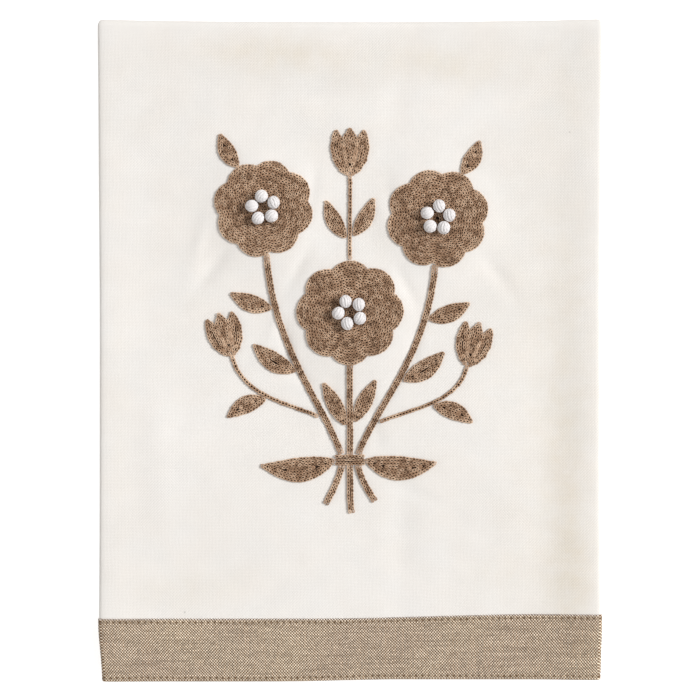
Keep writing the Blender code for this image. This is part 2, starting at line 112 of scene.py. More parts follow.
# Uneven outline: how far the edges, the seam and the lower edge lie off a square cut
MIDDLE_NARROWING = 0.9930
END_SPREAD = 0.0040
LEFT_TAPER = 0.0017
RIGHT_TAPER = 0.0007
FOLD_SAG = 0.0010
SEAM_DROP = 0.0008
SEAM_RISE = 0.0019
SEAM_RISE_START = -0.015
SEAM_RISE_LENGTH = 0.095
EDGE_DROP = 0.0005
EDGE_RISE = 0.0008
EDGE_RISE_START = -0.030
EDGE_RISE_LENGTH = 0.050
WAVE_REACH = 0.080
SETTLE_Y = 0.0003

# Small creases and puckers of the face: middle, half length and half width, the way each runs in
# degrees from +X, and its height before all are strengthened, below zero for a trough
CREASES = table(("x", "y", "length", "width", "turn", "height"), [
    (-0.0560, 0.0330, 0.0110, 0.0028, 52.0, -0.00052),
    (-0.0610, 0.0440, 0.0090, 0.0026, 74.0, 0.00030),
    (-0.0210, 0.0330, 0.0085, 0.0022, 60.0, -0.00044),
    (-0.0150, 0.0640, 0.0100, 0.0024, 84.0, -0.00036),
    (0.0170, 0.0560, 0.0100, 0.0024, 100.0, -0.00040),
    (0.0230, 0.0250, 0.0085, 0.0022, 118.0, -0.00042),
    (0.0600, 0.0300, 0.0100, 0.0028, 128.0, -0.00030),
    (-0.0260, 0.0020, 0.0085, 0.0024, 100.0, -0.00046),
    (-0.0310, 0.0090, 0.0060, 0.0022, 64.0, 0.00026),
    (-0.0190, -0.0120, 0.0070, 0.0022, 140.0, -0.00036),
    (0.0260, -0.0010, 0.0085, 0.0024, 76.0, -0.00040),
    (0.0180, -0.0140, 0.0070, 0.0022, 48.0, -0.00030),
    (-0.0080, -0.0260, 0.0090, 0.0020, 82.0, -0.00034),
    (0.0100, -0.0290, 0.0090, 0.0020, 100.0, -0.00030),
    (-0.0300, -0.0560, 0.0120, 0.0028, 24.0, -0.00036),
    (0.0280, -0.0590, 0.0100, 0.0028, 156.0, -0.00024),
    (0.0210, -0.0760, 0.0340, 0.0055, 88.0, -0.00026),
    (0.0190, 0.1010, 0.0180, 0.0060, 80.0, -0.00034),
    (-0.0780, -0.0420, 0.0300, 0.0070, 96.0, 0.00034),
    (0.0800, -0.0450, 0.0620, 0.0085, 88.0, -0.00024),
    (0.0020, 0.1040, 0.0520, 0.0065, 2.0, -0.00046),
    (-0.0520, 0.0980, 0.0260, 0.0060, 12.0, 0.00026),
])
CREASE_STRENGTH = 1.45

# Painted shade in a warm tint, in the troughs and on the slopes of the washed face: middle, half length
# and half width, the way each runs in degrees from +X, and its strength
SHADE_TINTS = table(("x", "y", "length", "width", "turn", "strength"), [
    (0.0780, -0.0200, 0.1000, 0.0260, 90.0, 0.18),
    (0.0865, -0.0470, 0.0640, 0.0100, 90.0, 0.48),
    (0.0900, -0.0900, 0.0200, 0.0080, 84.0, 0.50),
    (0.0880, 0.0400, 0.0300, 0.0090, 92.0, 0.16),
    (0.0890, 0.0980, 0.0180, 0.0150, 60.0, 0.20),
    (-0.0300, 0.1200, 0.0280, 0.0060, -3.0, 0.46),
    (0.0400, 0.1145, 0.0180, 0.0055, -12.0, 0.36),
    (0.0080, 0.1170, 0.0780, 0.0085, 0.0, 0.24),
    (-0.0690, -0.0970, 0.0300, 0.0080, 4.0, 0.26),
    (0.0600, -0.0900, 0.0180, 0.0080, 12.0, 0.22),
    (-0.0930, -0.0300, 0.0360, 0.0040, 90.0, 0.15),
])

# Thinner real cloth laid on the outer side of the solid: its hems, the steps in which its rims are
# rounded, how far it is tucked into the band below the seam, and the steps of its grid
SHEET_THICKNESS = 0.00065
SIDE_HEM = 0.0080
END_HEM = 0.0100
HEM_RAMP = 0.0010
RIM_STEP = math.radians(30.0)
SIDE_HEM_OUT = 0.0003
SIDE_HEM_IN = 0.00015
END_HEM_IN = 0.0005
TUCK = 0.0030
FACE_COLUMNS = 58
EDGE_ZONE = 0.0140
EDGE_COLUMNS = 14
BEND_COLUMNS = 8
FLAP_COLUMNS = 12
HEM_COLUMNS = 4
TUCK_ROWS = 2
FRONT_ROWS = 158
FOLD_ROWS = 14
BACK_ROWS = 34
HEM_ROWS = 5
HEM_RAMP_STEPS = 4

# Band: one strip folded in two over the end of the cream cloth, how far out its front and back lie,
# the puckers that its stitches draw, and the fine teeth of its upper edge
STRIP_THICKNESS = 0.00038
STRIP_FRONT = 0.00022
STRIP_BACK = -0.00090
STRIP_ROWS = 26
STRIP_FOLD_ROWS = 8
STRIP_BACK_ROWS = 8
PUCKER_HEIGHT = 0.00007
PUCKER_REACH = 0.0013
PUCKER_SHARE = 0.6
SEAM_TEETH = 0.0004

# Straight stitches of the band and the hems: share of the spacing, width, dip of the ends, and place
STITCH_SIDES = 6
STITCH_END = 0.40
STITCH_DIP = 0.00012
STITCH_TONE_RANGE = 0.2
BAND_STITCH = {"share": 0.70, "width": 0.00030, "sink": 0.00004, "tone": 0.5, "seed": 21}
HEM_STITCH = {"share": 0.82, "width": 0.00036, "inset": 0.0012, "sink": 0.00008, "tone": 0.55, "seed": 22}
STITCH_TURN_RANGE = 0.05
STITCH_WIDTH_SHARES = (0.9, 1.1)
HOLE_RADIUS = 0.00062

# Chain stitch: the spacing along and between rows, one loop's length, width and steps, how far to both
# sides its heading is read, how much its tail narrows, lifts and dips under the next loop, and the
# tone and unevenness of the loops
LOOP_PITCH = 0.00132
ROW_PITCH = 0.00124
LOOP_LENGTH = 0.00188
LOOP_WIDTH = 0.00144
LOOP_STEPS = 10
LOOP_SIDES = 5
HEADING_REACH = 0.3
LOOP_NARROWING = 0.14
LOOP_LIFT = 0.5
LOOP_DIP = 0.9
LOOP_DIP_SHARPNESS = 6
LOOP_REST = 0.00050
LOOP_TONE = 0.58
LOOP_TONE_RANGE = 0.25
LOOP_TURN_RANGE = 0.18
LOOP_SHIFT = 0.06 * LOOP_PITCH
LOOP_LENGTH_SHARES = (0.94, 1.10)
LOOP_WIDTH_SHARES = (0.90, 1.08)
LOOP_OUT_RANGE = (-0.00003, 0.00005)
EDGE_ROW_TONE = 0.12

# Pointed shapes: steps along their edges, the fewest spots that a row is made from, and the room that
# is left inside for a closed ring of loops and for a single line of them
BLADE_STEPS = 61
FEWEST_SPOTS = 4
RING_ROOM = 0.6 * ROW_PITCH
LINE_ROOM = -0.7 * ROW_PITCH

# Dark pad under each patch of loops, a sheet of painted shade that shows between the stitches: its foot,
# top and edge above the cloth, how far in from the outline it ends, its tone, the narrowest strip that is
# made, and the rings of a rosette's pad
PAD_FOOT = 0.00002
PAD_TOP = 0.00030
PAD_EDGE = 0.00016
PAD_INSET = 0.00035
SHADE_PAD_TONE = -0.30
PAD_LEAST_WIDTH = 0.0003
PAD_RING_STEPS = 96
PAD_RING_SHARES = (0.004, 0.3, 0.6, 0.85, 1.0)

# Posy: what it holds and where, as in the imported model, from the posy's middle
STEM_WIDTH = 0.0027
FINE_STEM_WIDTH = 0.0020
PETALS = 8
PETAL_DEPTH = 0.13
PETAL_ROUNDNESS = 0.75
PETAL_UNEVENNESS = ((0.020, 2.0, 1.0), (0.012, 3.0, 0.0))
KNOTS_IN_RING = 5
KNOT_RADIUS = 0.0026
KNOT_HEIGHT = 0.0044
KNOT_RING_RADIUS = 0.0047
ROSETTES = [
    {"name": "left", "x": -0.0350, "y": 0.0440, "radius": 0.0200, "turn": 9.0},
    {"name": "right", "x": 0.0355, "y": 0.0400, "radius": 0.0205, "turn": -6.0},
    {"name": "middle", "x": 0.0000, "y": 0.0020, "radius": 0.0215, "turn": 22.5},
]

# Rings of loops in a rosette: steps round each, steps in a radian, how the scallops fade towards the
# middle, and the least radius of a ring
RING_STEPS = 360
RING_STEPS_IN_RADIAN = 57.3
RING_FADE = 1.2
RING_LEAST = 0.2 * ROW_PITCH

# Buds at the ends of stems, with the way each points in degrees from +X. A bud's side petals lie
# between its outline and its notch, and its tip between the two petals: half widths at shares of the
# bud's length.
BUDS = [
    {"stem": "top", "length": 0.0200, "points": 90.0},
    {"stem": "side_left", "length": 0.0185, "points": 108.0},
    {"stem": "side_right", "length": 0.0185, "points": 74.0},
]
BUD_ALONG = (0.00, 0.10, 0.30, 0.55, 0.78, 0.95)
BUD_HALF = (0.060, 0.215, 0.345, 0.400, 0.370, 0.300)
BUD_NOTCH_ALONG = (0.03, 0.76, 0.95)
BUD_NOTCH_HALF = (0.010, 0.150, 0.280)
BUD_TIP_ALONG = (0.05, 0.30, 0.55, 0.76, 1.00)
BUD_TIP_HALF = (0.020, 0.110, 0.160, 0.150, 0.005)
BUD_CLOSES = 0.99
BUD_CLOSING = 0.04
BUD_TIP_RISE = 0.00018

# Leaves: what each grows on and how far along it, or at what angle round it, the side, the leaf's
# length and width, the way it points in degrees from +X, and how far it bows
LEAVES = table(("name", "on", "at", "side", "length", "width", "points", "bow"), [
    ("low_left", "tie", 0.0, -1, 0.0300, 0.0100, 184.0, 0.0030),
    ("low_right", "tie", 0.0, 1, 0.0290, 0.0100, -2.0, -0.0030),
    ("heart_left", "middle", 0.34, 1, 0.0195, 0.0064, 118.0, 0.0),
    ("heart_right", "middle", 0.38, -1, 0.0190, 0.0064, 63.0, 0.0),
    ("arm_left", "left", 0.50, 1, 0.0200, 0.0080, 147.0, 0.0015),
    ("arm_right", "right", 0.48, -1, 0.0200, 0.0080, 35.0, -0.0015),
    ("cheek_left", "left", 0.80, 1, 0.0175, 0.0074, 160.0, 0.0010),
    ("cheek_right", "right", 0.79, -1, 0.0175, 0.0074, 22.0, -0.0010),
    ("crown_left", "top", 0.26, 1, 0.0170, 0.0066, 118.0, 0.0010),
    ("crown_right", "top", 0.29, -1, 0.0170, 0.0066, 62.0, -0.0010),
    ("side_left", "side_left", 0.52, 1, 0.0170, 0.0072, 206.0, -0.0015),
    ("side_right", "side_right", 0.52, -1, 0.0170, 0.0072, -24.0, 0.0015),
    ("brow_left", "rosette left", 121.5, 1, 0.0150, 0.0070, 118.0, 0.0010),
    ("brow_right", "rosette right", 61.5, 1, 0.0150, 0.0070, 62.0, -0.0010),
])
LEAF_FULLEST = 0.88
LEAF_ROUNDNESS = 0.85
LEAF_TIP = 0.0003
LEAF_CLEARANCE = 0.0008
END_CLEARANCE = 0.0006
BRANCH_CLEARANCE = 0.0012

# Stems: the stem that one branches from, how far along and on which side, its width, and the points
# of its smooth curve, where a branch's first one is worked out
STEMS = table(("name", "branch_of", "at", "side", "width", "route"), [
    ("middle", None, 0.0, 0, STEM_WIDTH,
     [(0.0, -0.0549), (0.0003, -0.0430), (-0.0003, -0.0320), (0.0, -0.0199)]),
    ("top", None, 0.0, 0, FINE_STEM_WIDTH,
     [(0.0, 0.0241), (-0.0004, 0.0350), (0.0004, 0.0460), (0.0, 0.0568)]),
    ("left", None, 0.0, 0, STEM_WIDTH,
     [(-0.0037, -0.0545), (-0.0120, -0.0330), (-0.0310, -0.0120), (-0.0338, 0.0247)]),
    ("right", None, 0.0, 0, STEM_WIDTH,
     [(0.0037, -0.0545), (0.0120, -0.0340), (0.0315, -0.0150), (0.0345, 0.0203)]),
    ("side_left", "left", 0.245, 1, FINE_STEM_WIDTH,
     [(-0.0240, -0.0350), (-0.0440, -0.0320), (-0.0478, -0.0160)]),
    ("side_right", "right", 0.225, -1, FINE_STEM_WIDTH,
     [(0.0240, -0.0370), (0.0440, -0.0350), (0.0475, -0.0200)]),
    ("tail_left", None, 0.0, 0, STEM_WIDTH,
     [(-0.0034, -0.0603), (-0.0045, -0.0650), (-0.0070, -0.0700), (-0.0095, -0.0745)]),
    ("tail_middle", None, 0.0, 0, STEM_WIDTH,
     [(0.0, -0.0601), (0.0002, -0.0660), (-0.0002, -0.0720), (0.0006, -0.0780)]),
    ("tail_right", None, 0.0, 0, STEM_WIDTH,
     [(0.0034, -0.0603), (0.0045, -0.0650), (0.0072, -0.0695), (0.0098, -0.0735)]),
])
TWO_ROW_WIDTH = 0.0024
STEM_STEPS = 41
TWO_ROW_TONE = 0.05
ONE_ROW_TONE = 0.08
ONE_ROW_WIDTH = 1.35
TIE_Y = -0.0575
TIE_LENGTH = 0.0118
TIE_HEIGHT = 0.0042
TIE_STEPS = 9
TIE_TONE = 0.14
TIE_RISE = 0.00012
TIE_PAD_RISE = 0.00010

# Where the random draws of each kind of piece start
ROSETTE_SEED = 31
BUD_SEED = 41
LEAF_SEED = 51
STEM_SEED = 71
TIE_SEED = 81
KNOT_SEED = 91

# Wound knots: how high they sit, their tone, how far they lean and spin, and their windings. Each
# winding has its turns, its place and thickness in yarn radii, its tilt and how much of the way from
# pole to pole it takes. The first one's turns are a setting.
KNOT_SEAT = 0.00105
KNOT_TONE = 0.75
KNOT_TRIM = 0.98
KNOT_LEAN = (0.9, 1.3)
KNOT_SPIN = (0.0, 6.28)
KNOT_CORE = 0.45
WRAP_STEPS = 16
WRAP_SHARE = 0.90
CROSS_WRAPS = ((2.2, 0.30, 0.9, 1.1, 0.34), (1.3, 0.55, 0.8, -0.7, 0.14))

# Noise lies about one half, and these ends of it are taken as its least and its most. Its scales are
# in turns a metre, and so the largest scale is the finest noise.
NOISE_ENDS = (0.30, 0.70)
TONE_ENDS = (0.25, 0.75)
FLOOR_SCALE = 40.0
RELIEF_SCALE = 34.0
HUE_SCALE = 62.0
LEAN_SCALE = 95.0
TINT_SCALE = 130.0
WANDER_SCALE = 140.0
YARN_PATCH_SCALE = 160.0
HOLE_SCALE = 260.0
FUZZ = {"scale": 6500.0, "detail": 3.0, "roughness": 0.6}

# The two weaves: spacing of the weft as a share of the warp's, how much the threads wander and lean,
# and the length of a slub. Then how far a thread sinks under the next, where the second pattern of
# drift is read, and how far on in the noise each thread's own tone lies.
CREAM_WEAVE = {"weft": 1.04, "wander": 0.60, "lean": 0.30, "slub": 0.009}
BAND_WEAVE = {"weft": 1.06, "wander": 0.45, "lean": 0.14, "slub": 0.026}
CRIMP = 0.45
ELSEWHERE = (3.7, 1.9, 0.6)
THREAD_STEP = 0.731

# Yarns and threads: how far their plies stand up, their twists in a loop or stitch, and their sheen
YARNS = {
    "taupe_chain_yarn": {"depth": 0.00006, "twists": 9.0, "sheen": 0.05},
    "white_knot_yarn": {"depth": 0.00006, "twists": 30.0, "sheen": 0.20},
    "band_thread": {"depth": 0.00003, "twists": 6.0, "sheen": 0.05},
    "cream_thread": {"depth": 0.00003, "twists": 6.0, "sheen": 0.05},
}

# Floor, sky and two square soft lights: the way to each light from the towel, how far off they stand,
# their size and colour
FLOOR_Z = -0.0001
SKY_COLOUR = (1.0, 0.975, 0.945, 1.0)
KEY_WAY = (0.72, 0.20, 0.60)
FILL_WAY = (-0.90, -0.20, 0.35)
LIGHT_DISTANCE = 12.0
LIGHT_SIZE = 3.8
LIGHT_COLOUR = (1.0, 0.992, 0.982)
SENSOR_WIDTH = 36.0
FARTHEST_SEEN = 50.0


def smooth_step(value):
    """Ease from 0 to 1 with level ends."""
    value = np.clip(value, 0.0, 1.0)
    return value * value * (3.0 - 2.0 * value)


def ridge(distance, along, shape):
    """Height of a fold's soft ridge at a distance in from the fold and a place along it."""
    reach = np.where(distance < shape["crest"], shape["outer"], shape["inner"])
    share, turns, start = shape["waver"]
    height = shape["height"] * (1.0 + share * np.sin(turns * along + start))
    return height * np.exp(-(((distance - shape["crest"]) / reach) ** 2))


def hand_placed(rows, x, y, key):
    """Sum of soft oval spots, each with its own middle, reach, turn and strength."""
    total = 0.0
    for row in rows:
        turn = math.radians(row["turn"])
        ahead = (x - row["x"]) * math.cos(turn) + (y - row["y"]) * math.sin(turn)
        aside = (y - row["y"]) * math.cos(turn) - (x - row["x"]) * math.sin(turn)
        total = total + row[key] * np.exp(-(ahead / row["length"]) ** 2 - (aside / row["width"]) ** 2)
    return total


def loft(x, y):
    """How far the upper layers stand off: ridges by the folds, swells, ripples and small creases."""
    lift = ridge(HALF_WIDTH + x, y, LEFT_RIDGE)
    lift = lift + ridge(HALF_WIDTH - x, y, RIGHT_RIDGE) + ridge(HALF_LENGTH - y, x, TOP_RIDGE)
    for rosette in ROSETTES:
        distance = np.hypot(x - rosette["x"], y - MOTIF_Y - rosette["y"])
        lift = lift + SWELL_HEIGHT * np.exp(-((distance / (SWELL_MARGIN * rosette["radius"])) ** 4))
        lift = lift - DISH_DEPTH * np.exp(-((distance / (DISH_SHARE * rosette["radius"])) ** 2))
    for height, across, along, start in RIPPLES:
        lift = lift + height * (1.0 + np.sin(across * x + along * y + start))
    return lift + CREASE_STRENGTH * hand_placed(CREASES, x, y, "height")


def settle(x, y, z):
    """Move points of the square-cut towel to where the cloth really lies."""
    lower = smooth_step(-y / HALF_LENGTH)
    upper = smooth_step(y / HALF_LENGTH)
    across = x / HALF_WIDTH
    top_layers = smooth_step((z - MIDDLE_Z + 0.5 * INNER_GAP) / INNER_GAP)
    below_seam = smooth_step((SEAM_Y - y) / BAND_HEIGHT)
    moved_x = x * (MIDDLE_NARROWING + (1.0 - MIDDLE_NARROWING) * upper + END_SPREAD * lower ** 3)
    moved_x = moved_x - np.where(x < 0.0, LEFT_TAPER, RIGHT_TAPER) * across * below_seam
    sag = -FOLD_SAG * (1.0 - across ** 2) * upper ** 4
    seam_wave = -SEAM_DROP + SEAM_RISE * smooth_step((x - SEAM_RISE_START) / SEAM_RISE_LENGTH)
    edge_wave = -EDGE_DROP + EDGE_RISE * smooth_step((x - EDGE_RISE_START) / EDGE_RISE_LENGTH)
    near_seam = smooth_step(1.0 - (y - SEAM_Y) / WAVE_REACH)
    wave = (seam_wave + (edge_wave - seam_wave) * below_seam) * near_seam
    return np.stack((moved_x, y + sag + wave + SETTLE_Y, z + loft(x, y) * top_layers), axis=-1)


def lay(s, t, out):
    """Points of the folded towel: s across the flat cloth, t along it from the seam, out from its face."""
    s, t, out = np.broadcast_arrays(s, t, out)
    behind = np.clip((t - FRONT_RUN) / FOLD_RUN, 0.0, 1.0)
    centre = FACE_HALF - BACK_INSET * smooth_step(behind)
    past = np.abs(s) - centre
    turn = (0.5 - np.clip(past / BEND_RUN, 0.0, 1.0)) * math.pi
    radius = BEND + 0.5 * SOLID_THICKNESS + out
    flat = np.minimum(np.abs(s), centre) - np.maximum(past - BEND_RUN, 0.0)
    across = np.sign(s) * (flat + radius * np.cos(turn))
    reach = FACE_REACH - BEND + radius * np.sin(turn)
    facing = (0.5 - behind) * math.pi
    y = SEAM_Y + np.minimum(t, FRONT_RUN) - np.maximum(t - FRONT_RUN - FOLD_RUN, 0.0)
    return settle(across, y + reach * np.cos(facing), MIDDLE_Z + reach * np.sin(facing))


def lay_strip(s, u, out):
    """Points of the band's strip: u runs down the front from the seam, round the lower edge and up behind."""
    s, u, out = np.broadcast_arrays(s, u, out)
    fold_radius = 0.5 * (STRIP_FRONT - STRIP_BACK)
    front = BAND_HEIGHT - fold_radius
    turn = np.clip((u - front) / (math.pi * fold_radius), 0.0, 1.0)
    angle = (0.5 - turn) * math.pi
    back = np.maximum(u - front - math.pi * fold_radius, 0.0)
    t = -np.minimum(u, front) + back - (fold_radius + out) * np.cos(angle)
    middle = 0.5 * (STRIP_FRONT + STRIP_BACK)
    pucker = 0.0
    for row in stitch_rows():
        pucker = pucker + np.exp(-(((t + row) / PUCKER_REACH) ** 2))
    pitch = bpy.context.scene.towel_band.stitch_pitch
    wave = -PUCKER_HEIGHT * pucker * (1.0 + PUCKER_SHARE * np.cos(2.0 * math.pi * s / pitch))
    return lay(s, t, middle + (fold_radius + out) * np.sin(angle) + wave * (1.0 - turn))


def stitch_rows():
    """Distance below the seam of the band's two rows of stitches."""
    inset = bpy.context.scene.towel_band.stitch_inset
    return (inset, BAND_HEIGHT - inset)


class Sketch:
    """Short calls that add linked nodes to one node tree."""

    def __init__(self, tree):
        self.tree = tree

    def feed(self, socket, value):
        """Link a socket, or set its own value."""
        if isinstance(value, bpy.types.NodeSocket):
            self.tree.links.new(value, socket)
        else:
            socket.default_value = value

    def add(self, kind, inputs=None, **settings):
        """A node with its settings, and its inputs fed by name or number."""
        node = self.tree.nodes.new(kind)
        for key, value in settings.items():
            setattr(node, key, value)
        for key, value in (inputs or {}).items():
            self.feed(node.inputs[key], value)
        return node

    def math(self, operation, *values):
        """The result of one sum on numbers."""
        return self.add("ShaderNodeMath", dict(enumerate(values)), operation=operation).outputs[0]

    def plus(self, first, second):
        """One number and another."""
        return self.math("ADD", first, second)

    def minus(self, first, second):
        """One number less another."""
        return self.math("SUBTRACT", first, second)

    def times(self, first, second):
        """One number times another."""
        return self.math("MULTIPLY", first, second)

    def over(self, first, second):
        """One number divided by another."""
        return self.math("DIVIDE", first, second)

    def scaled(self, value, share, start):
        """A number times a share, added to a start."""
        return self.math("MULTIPLY_ADD", value, share, start)

    def shifted(self, place, way):
        """A place moved by a fixed way, where the same noise reads another part of its pattern."""
        return self.add("ShaderNodeVectorMath", {0: place, 1: way}, operation="ADD").outputs[0]

    def noise(self, place, scale, detail=2.0, roughness=0.5):
        """Noise from 0 to 1 about one half."""
        inputs = {"Vector": place, "Scale": scale, "Detail": detail, "Roughness": roughness}
        return self.add("ShaderNodeTexNoise", inputs).outputs["Fac"]

    def spread(self, value, low, high, to_low=0.0, to_high=1.0):
        """A value moved from one range to another and kept within it."""
        inputs = {"Value": value, "From Min": low, "From Max": high, "To Min": to_low, "To Max": to_high}
        return self.add("ShaderNodeMapRange", inputs, clamp=True).outputs[0]

    def mix(self, share, first, second):
        """A number between two."""
        inputs = {0: share, 2: first, 3: second}
        return self.add("ShaderNodeMix", inputs, data_type="FLOAT").outputs[0]

    def colour(self, share, first, second, blend="MIX"):
        """A colour between two, or with another way to blend, the first changed by the second."""
        inputs = {0: share, 6: first, 7: second}
        return self.add("ShaderNodeMix", inputs, data_type="RGBA", blend_type=blend).outputs[2]

    def tinted(self, colour, tint):
        """A colour multiplied by another."""
        return self.colour(1.0, colour, tint, "MULTIPLY")

    def dimmed(self, colour, level):
        """A colour made lighter or darker by a number."""
        return self.tinted(colour, self.join(level, level, level))

    def split(self, place):
        """The three numbers of a vector."""
        return self.add("ShaderNodeSeparateXYZ", {0: place}).outputs

    def join(self, x, y, z=0.0):
        """A vector of three numbers."""
        return self.add("ShaderNodeCombineXYZ", {0: x, 1: y, 2: z}).outputs[0]

    def bump(self, height, distance, strength=1.0):
        """A normal from a height."""
        inputs = {"Height": height, "Distance": distance, "Strength": strength}
        return self.add("ShaderNodeBump", inputs).outputs[0]

    def group(self, tree, inputs):
        """A node group's outputs."""
        return self.add("ShaderNodeGroup", inputs, node_tree=tree).outputs


def shared_group(name, inputs, outputs, fill):
    """A node group by its name, made and filled the first time it is wanted. Its inputs are vectors
    where they have no default and numbers elsewhere, and its outputs are numbers."""
    if name in bpy.data.node_groups:
        return bpy.data.node_groups[name]
    tree = bpy.data.node_groups.new(name, "ShaderNodeTree")
    for key, default in inputs.items():
        kind = "NodeSocketVector" if default is None else "NodeSocketFloat"
        socket = tree.interface.new_socket(key, in_out="INPUT", socket_type=kind)
        if default is not None:
            socket.default_value = default
    for key in outputs:
        tree.interface.new_socket(key, in_out="OUTPUT", socket_type="NodeSocketFloat")
    sketch = Sketch(tree)
    results = fill(sketch, sketch.add("NodeGroupInput").outputs)
    sketch.add("NodeGroupOutput", results)
    return tree


def plain_weave_group():
    """Over-one-under-one weave: which thread is on top, the threads' height, gaps and uneven tones."""
    inputs = {"Cloth Place": None, "Warp Pitch": 0.0005, "Weft Pitch": 0.0005, "Wander": 0.3, "Lean": 0.0,
              "Slub Run": 0.012}
    outputs = ("Warp On Top", "Height", "Gap", "Warp Tone", "Weft Tone", "Crossing Tone")

    def fill(sketch, given):
        place = given["Cloth Place"]
        across, along, _ = sketch.split(place)
        elsewhere = sketch.shifted(place, ELSEWHERE)
        threads = []
        crowns = []
        for run, where, pitch in ((across, place, "Warp Pitch"), (along, elsewhere, "Weft Pitch")):
            drift = sketch.minus(sketch.noise(where, WANDER_SCALE), 0.5)
            even = sketch.over(run, given[pitch])
            wander = sketch.times(given["Wander"], 2.0)
            thread = sketch.scaled(drift, wander, even)
            off_middle = sketch.minus(sketch.math("FRACT", thread), 0.5)
            square = sketch.times(off_middle, off_middle)
            threads.append(thread)
            crowns.append(sketch.scaled(square, -4.0, 1.0))
        lean = sketch.spread(sketch.noise(elsewhere, LEAN_SCALE, 1.0), 0.36, 0.64, -0.6, 1.4)
        lean = sketch.times(given["Lean"], lean)
        falling, rising = (
            sketch.math("COSINE", sketch.times(sketch.math(way, *threads), math.pi))
            for way in ("SUBTRACT", "ADD")
        )
        falling = sketch.times(falling, sketch.plus(1.0, lean))
        rising = sketch.times(rising, sketch.minus(1.0, lean))
        on_top = sketch.math("GREATER_THAN", falling, rising)
        warp_height, weft_height = (
            sketch.times(own, sketch.scaled(other, CRIMP, 1.0 - CRIMP))
            for own, other in (crowns, crowns[::-1])
        )
        open_across, open_along = (sketch.minus(1.0, crown) for crown in crowns)
        warp_number, weft_number = (sketch.math("FLOOR", thread) for thread in threads)
        warp_row, weft_row = (sketch.times(n, THREAD_STEP) for n in (warp_number, weft_number))
        warp_run, weft_run = (sketch.over(run, given["Slub Run"]) for run in (along, across))
        crossing = sketch.add("ShaderNodeTexWhiteNoise", {"Vector": sketch.join(warp_number, weft_number)})
        return {
            "Warp On Top": on_top,
            "Height": sketch.mix(on_top, weft_height, warp_height),
            "Gap": sketch.times(open_across, open_along),
            "Warp Tone": sketch.noise(sketch.join(warp_row, warp_run, 2.0), 1.0, 1.0),
            "Weft Tone": sketch.noise(sketch.join(weft_run, weft_row, 9.0), 1.0, 1.0),
            "Crossing Tone": crossing.outputs["Value"],
        }

    return shared_group("Plain Weave", inputs, outputs, fill)


def needle_holes_group():
    """A row of small needle holes across the cloth, as a mask that sinks them and paints their shade dark."""
    inputs = {"Cloth Place": None, "Row": 0.0, "Pitch": 0.0025, "Radius": 0.0004}

    def fill(sketch, given):
        across, along, _ = sketch.split(given["Cloth Place"])
        turns = sketch.math("FRACT", sketch.over(across, given["Pitch"]))
        aside = sketch.times(sketch.minus(turns, 0.5), given["Pitch"])
        ahead = sketch.minus(along, given["Row"])
        square = sketch.scaled(aside, aside, sketch.times(ahead, ahead))
        distance = sketch.over(sketch.math("SQRT", square), given["Radius"])
        uneven = sketch.spread(sketch.noise(given["Cloth Place"], HOLE_SCALE), 0.3, 0.6, 0.55, 1.0)
        return {"Mask": sketch.times(sketch.spread(distance, 1.0, 0.55), uneven)}

    return shared_group("Needle Holes", inputs, ("Mask",), fill)


def yarn_group():
    """Twisted yarn along a piece's own map: the height of its plies and fine fibres, and their shade."""
    inputs = {"Yarn Place": None, "Object Place": None, "Plies": 3.0, "Twists": 9.0, "Fibre Scale": 9000.0}

    def fill(sketch, given):
        round_loop, round_yarn, _ = sketch.split(given["Yarn Place"])
        plies = sketch.times(round_yarn, given["Plies"])
        phase = sketch.scaled(round_loop, given["Twists"], plies)
        wave = sketch.math("SINE", sketch.times(phase, 2.0 * math.pi))
        plies = sketch.scaled(wave, 0.5, 0.5)
        fibres = sketch.noise(given["Object Place"], given["Fibre Scale"], 3.0, 0.65)
        return {"Height": sketch.mix(0.4, plies, fibres), "Shade": sketch.mix(0.6, plies, fibres)}

    return shared_group("Twisted Yarn", inputs, ("Height", "Shade"), fill)


def washed_tint_group():
    """Faint uneven tints that a washed cloth has, in broad and in small patches, and a few specks."""
    inputs = {"Place": None, "Broad Scale": 18.0, "Small Scale": 90.0, "Speck Scale": 90.0}

    def fill(sketch, given):
        place = given["Place"]
        broad = sketch.noise(place, given["Broad Scale"], 2.0)
        small = sketch.noise(place, given["Small Scale"], 3.0)
        inputs = {"Vector": place, "Scale": given["Speck Scale"], "Randomness": 1.0}
        cells = sketch.add("ShaderNodeTexVoronoi", inputs).outputs
        chosen = sketch.math("GREATER_THAN", sketch.split(cells["Color"])[0], 0.93)
        dot = sketch.spread(cells["Distance"], 0.055, 0.02)
        return {
            "Broad": sketch.spread(broad, *NOISE_ENDS),
            "Small": sketch.spread(small, *NOISE_ENDS),
            "Speck": sketch.times(chosen, dot),
        }

    return shared_group("Washed Tint", inputs, ("Broad", "Small", "Speck"), fill)


def new_material(name, roughness, sheen):
    """A material with one Principled shader, its sketch and the shader."""
    finish = bpy.data.materials.new(name)
    finish.use_nodes = True
    shader = finish.node_tree.nodes["Principled BSDF"]
    shader.inputs["Roughness"].default_value = roughness
    shader.inputs["Specular IOR Level"].default_value = 0.25
    shader.inputs["Sheen Weight"].default_value = sheen
    shader.inputs["Sheen Roughness"].default_value = 0.5
    return finish, Sketch(finish.node_tree), shader


def rgba(colour, share=1.0):
    """A colour setting as the four numbers that a socket takes, brightened or dimmed by a share."""
    return (colour[0] * share, colour[1] * share, colour[2] * share, 1.0)


def weave_looks(sketch, place, settings, weave):
    """A weave's outputs on one cloth, and the fuzz of its fibres."""
    looks = sketch.group(plain_weave_group(), {
        "Cloth Place": place,
        "Warp Pitch": settings.thread_pitch,
        "Weft Pitch": weave["weft"] * settings.thread_pitch,
        "Wander": weave["wander"],
        "Lean": weave["lean"],
        "Slub Run": weave["slub"],
    })
    return looks, sketch.noise(place, **FUZZ)


